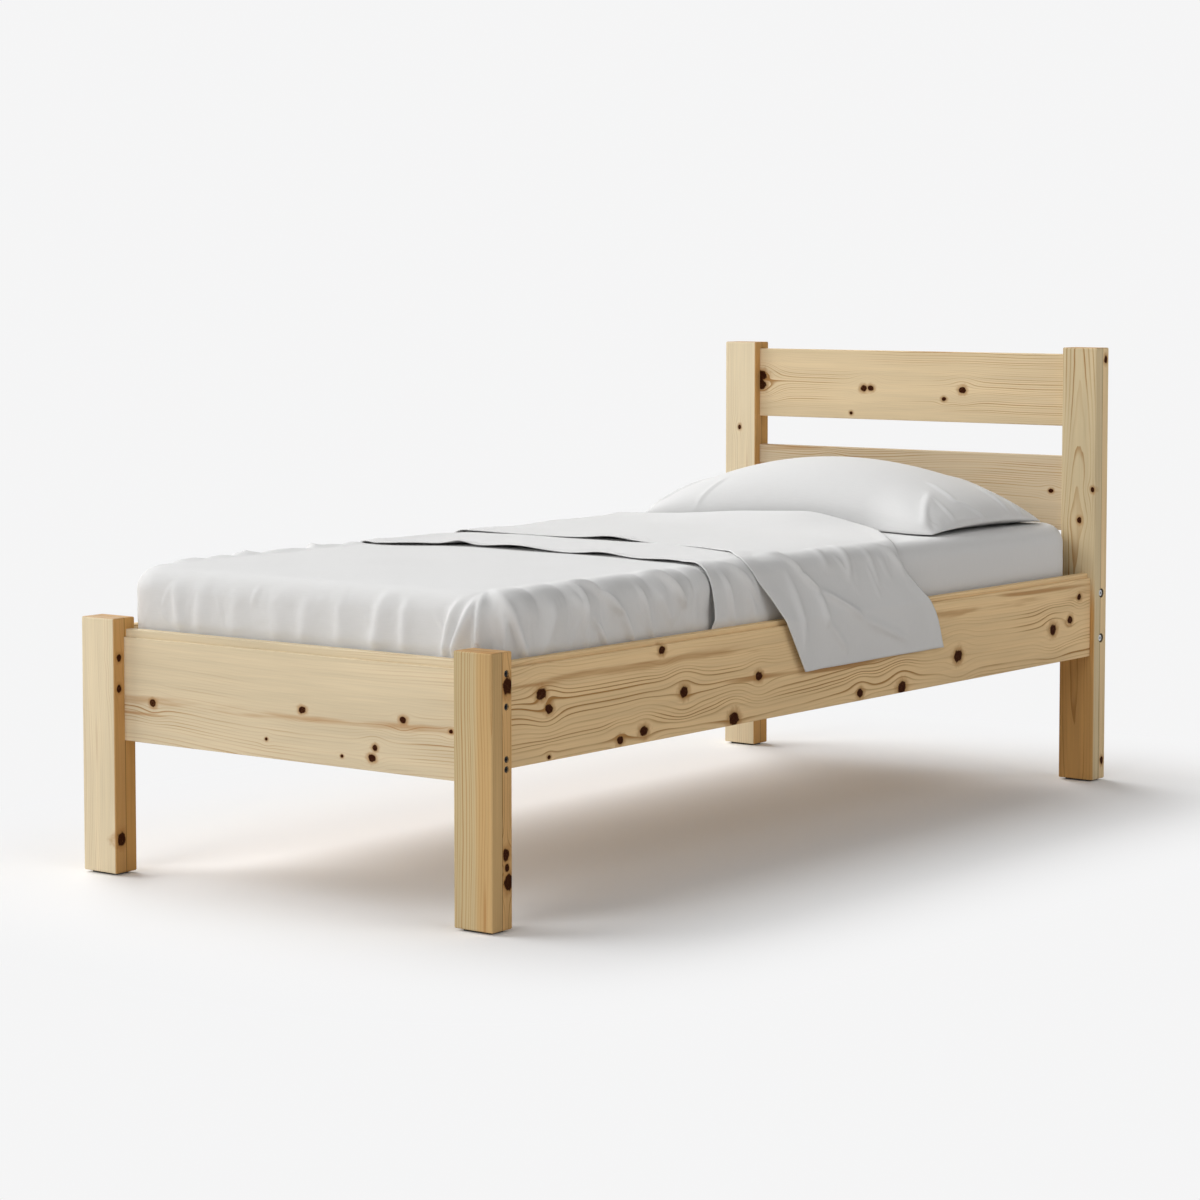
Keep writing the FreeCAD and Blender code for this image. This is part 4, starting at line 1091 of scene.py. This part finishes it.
class BED_OT_fittings(bpy.types.Operator):
    """Give the bolts, screws, plates and glides their metal and plastic."""

    bl_idname = "bed.fittings"
    bl_label = "Fittings"

    def execute(self, context):
        zinc = speckled_material("zinc_steel", colours().zinc, 0.30, 1.0)
        black = speckled_material("black_steel", colours().black_steel, 0.38, 0.6)
        plastic = speckled_material("black_plastic", colours().black_plastic, 0.45, 0.0)
        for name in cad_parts:
            if name == "footboard_bolts":
                dress_node(name, black)
            elif name.endswith(("_screws", "_bolts", "_nuts", "_nails")) or "_plate_" in name:
                dress_node(name, zinc)
            elif name.startswith("glide_"):
                dress_node(name, plastic)
        return {"FINISHED"}


class BED_OT_mattress(bpy.types.Operator):
    """Make the mattress block in its ticking."""

    bl_idname = "bed.mattress"
    bl_label = "Mattress"

    def execute(self, context):
        half = half_mattress()
        outline = self.plan_outline(half)
        levels = self.side_levels()
        rings = [np.column_stack([outline * (half - inset) / half, np.full(len(outline), height)])
                 for inset, height in levels]
        points = np.vstack(rings)
        ticking = cotton_material("mattress_ticking", colours().ticking, 0.5)
        faces = self.ring_faces(len(levels), len(outline))
        mattress = new_piece("mattress_block", points, faces, points[:, :2] + points[:, 2:3], ticking)
        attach(mattress, "mattress")
        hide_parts("mattress")
        return {"FINISHED"}

    def side_levels(self):
        """Inset and height of each ring of points, from the flat top round the edge and down to the base."""
        edge = sizes().mattress_edge
        base = MATTRESS_BASE_RADIUS
        levels = []
        for turn in np.linspace(0.0, QUARTER, 9):
            levels.append((edge * (1.0 - math.sin(turn)), MATTRESS_HIGH.z - edge * (1.0 - math.cos(turn))))
        for height in np.linspace(MATTRESS_HIGH.z - edge - 0.02, MATTRESS_LOW.z + base + 0.012, 7):
            levels.append((0.0, height))
        for turn in np.linspace(0.0, QUARTER, 6):
            levels.append((base * (1.0 - math.cos(turn)), MATTRESS_LOW.z + base * (1.0 - math.sin(turn))))
        return levels

    def plan_outline(self, half):
        corner = sizes().mattress_corner
        outline = []
        for quadrant, signs in enumerate(((1, 1), (-1, 1), (-1, -1), (1, -1))):
            for turn in np.linspace(0.0, QUARTER, 13):
                angle = quadrant * QUARTER + turn
                outline.append(np.multiply(signs, half - corner)
                               + corner * np.array([math.cos(angle), math.sin(angle)]))
        return np.array(outline)

    def ring_faces(self, rings, count):
        """Faces between rings of points, and one over each end."""
        faces = []
        for upper in range(0, (rings - 1) * count, count):
            lower = upper + count
            for index in range(count):
                following = (index + 1) % count
                faces.append((upper + index, lower + index, lower + following, upper + following))
        last = (rings - 1) * count
        faces.append(tuple(range(count)))
        faces.append(tuple(reversed(range(last, last + count))))
        return faces


class BED_OT_fitted_sheet(bpy.types.Operator):
    """Stretch the fitted sheet over the mattress."""

    bl_idname = "bed.fitted_sheet"
    bl_label = "Fitted sheet"

    def execute(self, context):
        rise = layer_rise(0)
        drop = drop_length(rise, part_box("fitted_sheet")[0].z)
        reach = flat_top_reach() + drop
        foot_edge, head_edge = straight_edge(-reach[1]), straight_edge(reach[1])
        flat, columns, rows = flat_grid(-reach[0], reach[0], foot_edge, head_edge, 2 * reach[1], coarse=2.0)
        places, outward, way = lay_over_mattress(flat, rise, drop)
        slack = lattice_noise(flat * (1.0, 0.35), 0.05, 3) * ease_between(way, 0.05, 0.12)
        places = places + outward * (0.0004 * (slack + 1.0))[:, None]
        linen = cotton_material("fitted_sheet_cotton", colours().cotton, 0.35)
        sheet = new_piece("fitted_sheet_cloth", places, grid_faces(columns, rows), flat, linen)
        finish_sheet(sheet, "mattress", "fitted_sheet")
        return {"FINISHED"}


class BED_OT_blanket(bpy.types.Operator):
    """Lay the blanket over the foot of the bed, tucked in on three sides."""

    bl_idname = "bed.blanket"
    bl_label = "Blanket"

    def execute(self, context):
        rise = layer_rise(1)
        drop = tucked_drop(rise)
        reach = flat_top_reach() + drop
        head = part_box("blanket")[1].y
        length = head + reach[1]
        foot_edge, head_edge = straight_edge(-reach[1]), straight_edge(head)
        flat, columns, rows = flat_grid(-reach[0], reach[0], foot_edge, head_edge, length)
        places, outward, way = lay_over_mattress(flat, rise, drop)
        places = places + outward * blanket_folds(flat, way, rise)[:, None]
        self.keep_off_frame(places)
        cotton = cotton_material("blanket_cotton", colours().cotton, 0.7)
        blanket = new_piece("blanket_cloth", places, grid_faces(columns, rows), flat, cotton)
        finish_sheet(blanket, "bedding", "blanket")
        return {"FINISHED"}

    def keep_off_frame(self, places):
        """Keep the blanket inside the rails, the footboard and the posts where it goes down between them."""
        inside_x = RAIL_LOW.x - FRAME_GAP
        inside_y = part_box("footboard")[1].y + FRAME_GAP
        free = ease_between(places[:, 2], RAIL_HIGH.z + 0.001, RAIL_HIGH.z + 0.009)
        post_low, post_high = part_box("foot_post_right_inner_ply")
        by_post = (np.abs(places[:, 0]) > post_low.x - 0.002) & (places[:, 2] < post_high.z + 0.003)
        limit_x = inside_x + FOLD_OVERHANG * free
        limit_y = np.where(by_post, post_high.y + POST_GAP, inside_y - FOLD_OVERHANG * free)
        places[:, 0] = np.clip(places[:, 0], -limit_x, limit_x)
        places[:, 1] = np.maximum(places[:, 1], limit_y)


class BED_OT_top_sheet(bpy.types.Operator):
    """Lay the top sheet over the blanket, its foot edge lifting a little."""

    bl_idname = "bed.top_sheet"
    bl_label = "Top sheet"

    def execute(self, context):
        rise = layer_rise(2)
        drop = tucked_drop(rise)
        reach = flat_top_reach()[0] + drop
        foot_edge = edge_line(((-reach, -0.340), *TOP_SHEET_FOOT, (reach, -0.376)))
        head_edge = straight_edge(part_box("top_sheet")[1].y)
        flat, columns, rows = flat_grid(-reach, reach, foot_edge, head_edge, TOP_SHEET_MESH_LENGTH)
        places, outward, way = lay_over_mattress(flat, rise, drop)
        stand = self.stand_off(flat, way, rise, flat[:, 1] - foot_edge(flat[:, 0]))
        places = places + outward * stand[:, None]
        cotton = cotton_material("top_sheet_cotton", colours().cotton, 0.7)
        sheet = new_piece("top_sheet_cloth", places, grid_faces(columns, rows), flat, cotton)
        flat_size, area = cut_size(-reach, reach, foot_edge, head_edge)
        finish_sheet(sheet, "bedding", "top_sheet")
        return {"FINISHED"}

    def stand_off(self, flat, way, rise, from_edge):
        """How far each point stands off the mattress: its lifted edge, its creases and the folds under it."""
        x = flat[:, 0]
        lift = 0.0006 + lifts(x, TOP_SHEET_LIFTS) + 0.0030 * ease_between(x, 0.36, 0.44)
        lift += 0.0090 * ease_between(way, 0.045, 0.105)
        run, whole = edge_run(flat)
        drawn = creases(np.column_stack([np.minimum(run, whole - run), way]), SHEET_CREASES)
        stand = (lift * (1.0 - ease_between(from_edge, 0.0, 0.075)) + drawn) * close_to_frame(way, rise)
        stand += 0.0022 * (1.0 + lattice_noise(flat, 0.12, 15)) * (1.0 - ease_between(way, -0.05, 0.02))
        return stand + under_folds(flat, way, rise)


class BED_OT_cover(bpy.types.Operator):
    """Lay the turned-down cover, its right corner hanging outside the rail."""

    bl_idname = "bed.cover"
    bl_label = "Cover"

    def execute(self, context):
        rise = layer_rise(3) + COVER_GAP
        drop = tucked_drop(rise)
        top_reach = flat_top_reach()[0]
        left = -(top_reach + drop)
        right = top_reach + self.flap_length(rise)
        foot_edge = edge_line(((left, -0.050), *COVER_FOOT, (right, -0.121)))
        head_edge = edge_line(((left, 0.490), *COVER_HEAD, (right, 0.385)))
        flat, columns, rows = flat_grid(left, right, foot_edge, head_edge, COVER_MESH_LENGTH)
        places, outward, way = lay_over_mattress(flat, rise, drop)
        flap_places, flap_outward = self.hang_flap(flat, rise)
        on_flap = (flat[:, 0] > top_reach)[:, None]
        places = np.where(on_flap, flap_places, places)
        outward = np.where(on_flap, flap_outward, outward)
        stand = self.lifted_edges(flat, foot_edge, head_edge) + self.flap_folds(flat, right)
        places = places + outward * stand[:, None]
        cotton = cotton_material("cover_cotton", colours().cotton, 0.7)
        cover = new_piece("cover_cloth", places, grid_faces(columns, rows), flat, cotton)
        flat_size, area = cut_size(left, right, foot_edge, head_edge)
        finish_sheet(cover, "bedding", "cover")
        return {"FINISHED"}

    def lifted_edges(self, flat, foot_edge, head_edge):
        """How far the cover stands up along its foot edge and against the pillow, and its soft unevenness."""
        x = flat[:, 0]
        from_foot = flat[:, 1] - foot_edge(x)
        from_head = head_edge(x) - flat[:, 1]
        lift = 0.0002 + lifts(x, COVER_LIFTS) + 0.004 * ease_between(x, 0.25, 0.42)
        stand = lift * (1.0 - ease_between(from_foot, 0.0, 0.07))
        against_pillow = np.exp(-((x - 0.06) / np.where(x < 0.06, 0.27, 0.14)) ** 2)
        stand += 0.026 * against_pillow * (1.0 - ease_between(from_head, 0.015, 0.19))
        stand += 0.0020 * (1.0 - ease_between(from_head, 0.0, 0.05))
        return stand + 0.0028 * (1.0 + lattice_noise(flat, 0.13, 23)) * (1.0 - ease_between(x, 0.36, 0.42))

    def flap_folds(self, flat, right):
        """The hanging part's creases and waves."""
        x = flat[:, 0]
        down = np.column_stack([-flat[:, 1], x - flat_top_reach()[0]])
        wave = np.column_stack([flat[:, 1] - 0.45 * x, 0.25 * x])
        hang = ease_between(x, 0.40, right - 0.05)
        drawn = creases(down, FLAP_CREASES + small_creases(-0.24, -0.05, 8, 0.003, 43))
        return drawn + hang * (0.003 + 0.003 * lattice_noise(wave, 0.070, 25))

    def flap_path(self, rise):
        """The cover's way over the mattress's rounded edge to the rail's top edge.

        Gives the rounded edge's radius, the angle turned where the cover leaves it, and the slope's length
        from there.
        """
        edge = sizes().mattress_edge
        radius = edge + rise
        run_x = RAIL_HIGH.x + FLAP_GAP - flat_top_reach()[0]
        run_z = RAIL_HIGH.z - FLAP_KNEE_DROP - (MATTRESS_HIGH.z - edge)
        lean = math.atan2(run_z, run_x) + math.acos(radius / math.hypot(run_x, run_z))
        return radius, QUARTER - lean, math.sqrt(run_x ** 2 + run_z ** 2 - radius ** 2)

    def flap_length(self, rise):
        radius, leave, slope_length = self.flap_path(rise)
        return radius * leave + slope_length + RAIL_HIGH.z - FLAP_KNEE_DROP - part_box("cover")[0].z

    def hang_flap(self, flat, rise):
        """Places and outward directions of the part that leaves the mattress and hangs outside the rail."""
        radius, leave, slope_length = self.flap_path(rise)
        knee_way = radius * leave + slope_length
        way = np.maximum(flat[:, 0] - flat_top_reach()[0], 0.0)
        turn = np.minimum(way / radius, leave)
        slope = np.clip(way - radius * leave, 0.0, slope_length)
        run = np.maximum(way - knee_way, 0.0)
        x = flat_top_reach()[0] + radius * np.sin(turn) + slope * math.cos(leave)
        z = MATTRESS_HIGH.z - sizes().mattress_edge + radius * np.cos(turn) - slope * math.sin(leave) - run
        knee = ease_between(way, knee_way - FLAP_KNEE_HALF, knee_way + FLAP_KNEE_HALF)
        facing = turn + (QUARTER - turn) * knee
        places = np.column_stack([x, flat[:, 1], z])
        outward = np.column_stack([np.sin(facing), 0.0 * facing, np.cos(facing)])
        return places, outward


class BED_OT_pillow(bpy.types.Operator):
    """Fill a cotton pouch until it makes the pillow, resting on the fitted sheet."""

    bl_idname = "bed.pillow"
    bl_label = "Pillow"

    columns: IntProperty(name="Columns", description="Cells across the pillow", default=104)
    rows: IntProperty(name="Rows", description="Cells from front to back", default=56)
    frames: IntProperty(name="Frames", description="Steps of filling", default=24)

    def execute(self, context):
        points, faces, flat, hold = self.pouch()
        middle = (PILLOW_LOW + PILLOW_HIGH) / 2
        points = points + np.array([middle.x, middle.y, PILLOW_LOW.z + 0.008])
        cotton = cotton_material("pillowcase_cotton", colours().cotton, 0.75)
        pillow = new_piece("pillow_filled", points, faces, flat, cotton)
        fill_pouch(pillow, flat, hold, self.frames)
        self.fit_to_bed(pillow)
        subdivide(pillow)
        self.draw_creases(pillow)
        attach(pillow, "pillow")
        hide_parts("pillow", "pillowcase")
        return {"FINISHED"}

    def pouch(self):
        """A crowned case sewn round its drawn-in rim: its points, faces, flat places and held rim."""
        half = np.array(PILLOW_HIGH - PILLOW_LOW) / 2
        columns, rows = self.columns + 1, self.rows + 1
        across, along = np.meshgrid(np.linspace(-1.0, 1.0, columns), np.linspace(-1.0, 1.0, rows))
        across, along = across.ravel(), along.ravel()
        tip = np.abs(across * along) ** 5
        x = across * half[0] * (1.0 - 0.020 * (1.0 - along ** 2) - 0.035 * tip)
        y = along * half[1] * (1.0 - 0.060 * (1.0 - across ** 2) - 0.085 * tip)
        crown = np.maximum(1.0 - across ** 2, 0.0) ** 0.64 * np.maximum(1.0 - along ** 2, 0.0) ** 0.46
        seam = 0.004 + 0.012 * np.maximum(across, 0.0) ** 6 * (1.0 - along ** 2)
        upper = np.column_stack([x, y, seam + crown * (2.0 * half[2] - 0.034)])
        lower = np.column_stack([x, y, seam * (1.0 - crown) - 0.002 * crown])
        flat = np.column_stack([across * half[0] * 1.06, along * half[1] * 1.16])
        rim = (np.abs(across) == 1.0) | (np.abs(along) == 1.0)
        inner = np.flatnonzero(~rim)
        lower_index = np.arange(len(upper))
        lower_index[inner] = len(upper) + np.arange(len(inner))
        faces = grid_faces(columns, rows)
        faces += [tuple(int(lower_index[i]) for i in reversed(face)) for face in faces]
        hold = np.concatenate([rim, np.zeros(len(inner), dtype=bool)])
        return np.vstack([upper, lower[inner]]), faces, np.vstack([flat, flat[inner]]), hold

    def fit_to_bed(self, pillow):
        """Fit the filled pouch to the pillow's room on the bed, its right front corner reaching forward."""
        places = read_vectors(pillow.data.vertices, "co")
        front = places[np.argmin(places[:, 1]), 2]
        places[:, 2] = np.maximum(places[:, 2], front - 0.003)
        low, high = places.min(axis=0), places.max(axis=0)
        room = np.array(PILLOW_HIGH) - np.array(PILLOW_LOW)
        places = np.array(PILLOW_LOW) + (places - low) * (room / (high - low))
        corner = ease_between(places[:, 0], 0.20, 0.40) * ease_between(-places[:, 1], -0.72, -0.53)
        places[:, 1] -= 0.045 * corner
        write_places(pillow.data, places)

    def draw_creases(self, pillow):
        """Draw the case's creases where it shows above the bed."""
        mesh = pillow.data
        flat = read_vectors(mesh.attributes[FLAT_PLACE].data, "vector")
        normals = read_vectors(mesh.vertices, "normal")
        places = read_vectors(mesh.vertices, "co")
        above = ease_between(normals[:, 2], 0.0, 0.3)
        above = above * ease_between(places[:, 2] - PILLOW_LOW.z, 0.008, 0.030)
        drawn = creases(flat[:, :2], PILLOW_CREASES) * above
        write_places(mesh, places + normals * drawn[:, None])


class BED_PT_panel(bpy.types.Panel):
    """Lists the bed's pieces, sizes and colours."""

    bl_idname = "BED_PT_panel"
    bl_label = "Single bed"
    bl_space_type = "VIEW_3D"
    bl_region_type = "UI"
    bl_category = "Bed"

    def draw(self, context):
        for operator in OPERATORS:
            self.layout.operator(operator.bl_idname)
        for group in (context.scene.bed_sizes, context.scene.bed_colours):
            for name in group.__annotations__:
                self.layout.prop(group, name)


OPERATORS = (BED_OT_stage, BED_OT_pine_frame, BED_OT_fittings, BED_OT_mattress, BED_OT_fitted_sheet,
             BED_OT_blanket, BED_OT_top_sheet, BED_OT_cover, BED_OT_pillow)
CLASSES = (BedSizes, BedColours, *OPERATORS, BED_PT_panel)


def register():
    for kind in CLASSES:
        bpy.utils.register_class(kind)
    bpy.types.Scene.bed_sizes = PointerProperty(type=BedSizes)
    bpy.types.Scene.bed_colours = PointerProperty(type=BedColours)


def unregister():
    del bpy.types.Scene.bed_colours
    del bpy.types.Scene.bed_sizes
    for kind in reversed(CLASSES):
        bpy.utils.unregister_class(kind)


def main():
    register()
    bpy.ops.bed.stage()
    bpy.ops.bed.pine_frame()
    bpy.ops.bed.fittings()
    bpy.ops.bed.mattress()
    bpy.ops.bed.fitted_sheet()
    bpy.ops.bed.blanket()
    bpy.ops.bed.top_sheet()
    bpy.ops.bed.cover()
    bpy.ops.bed.pillow()


if __name__ == "__main__":
    main()
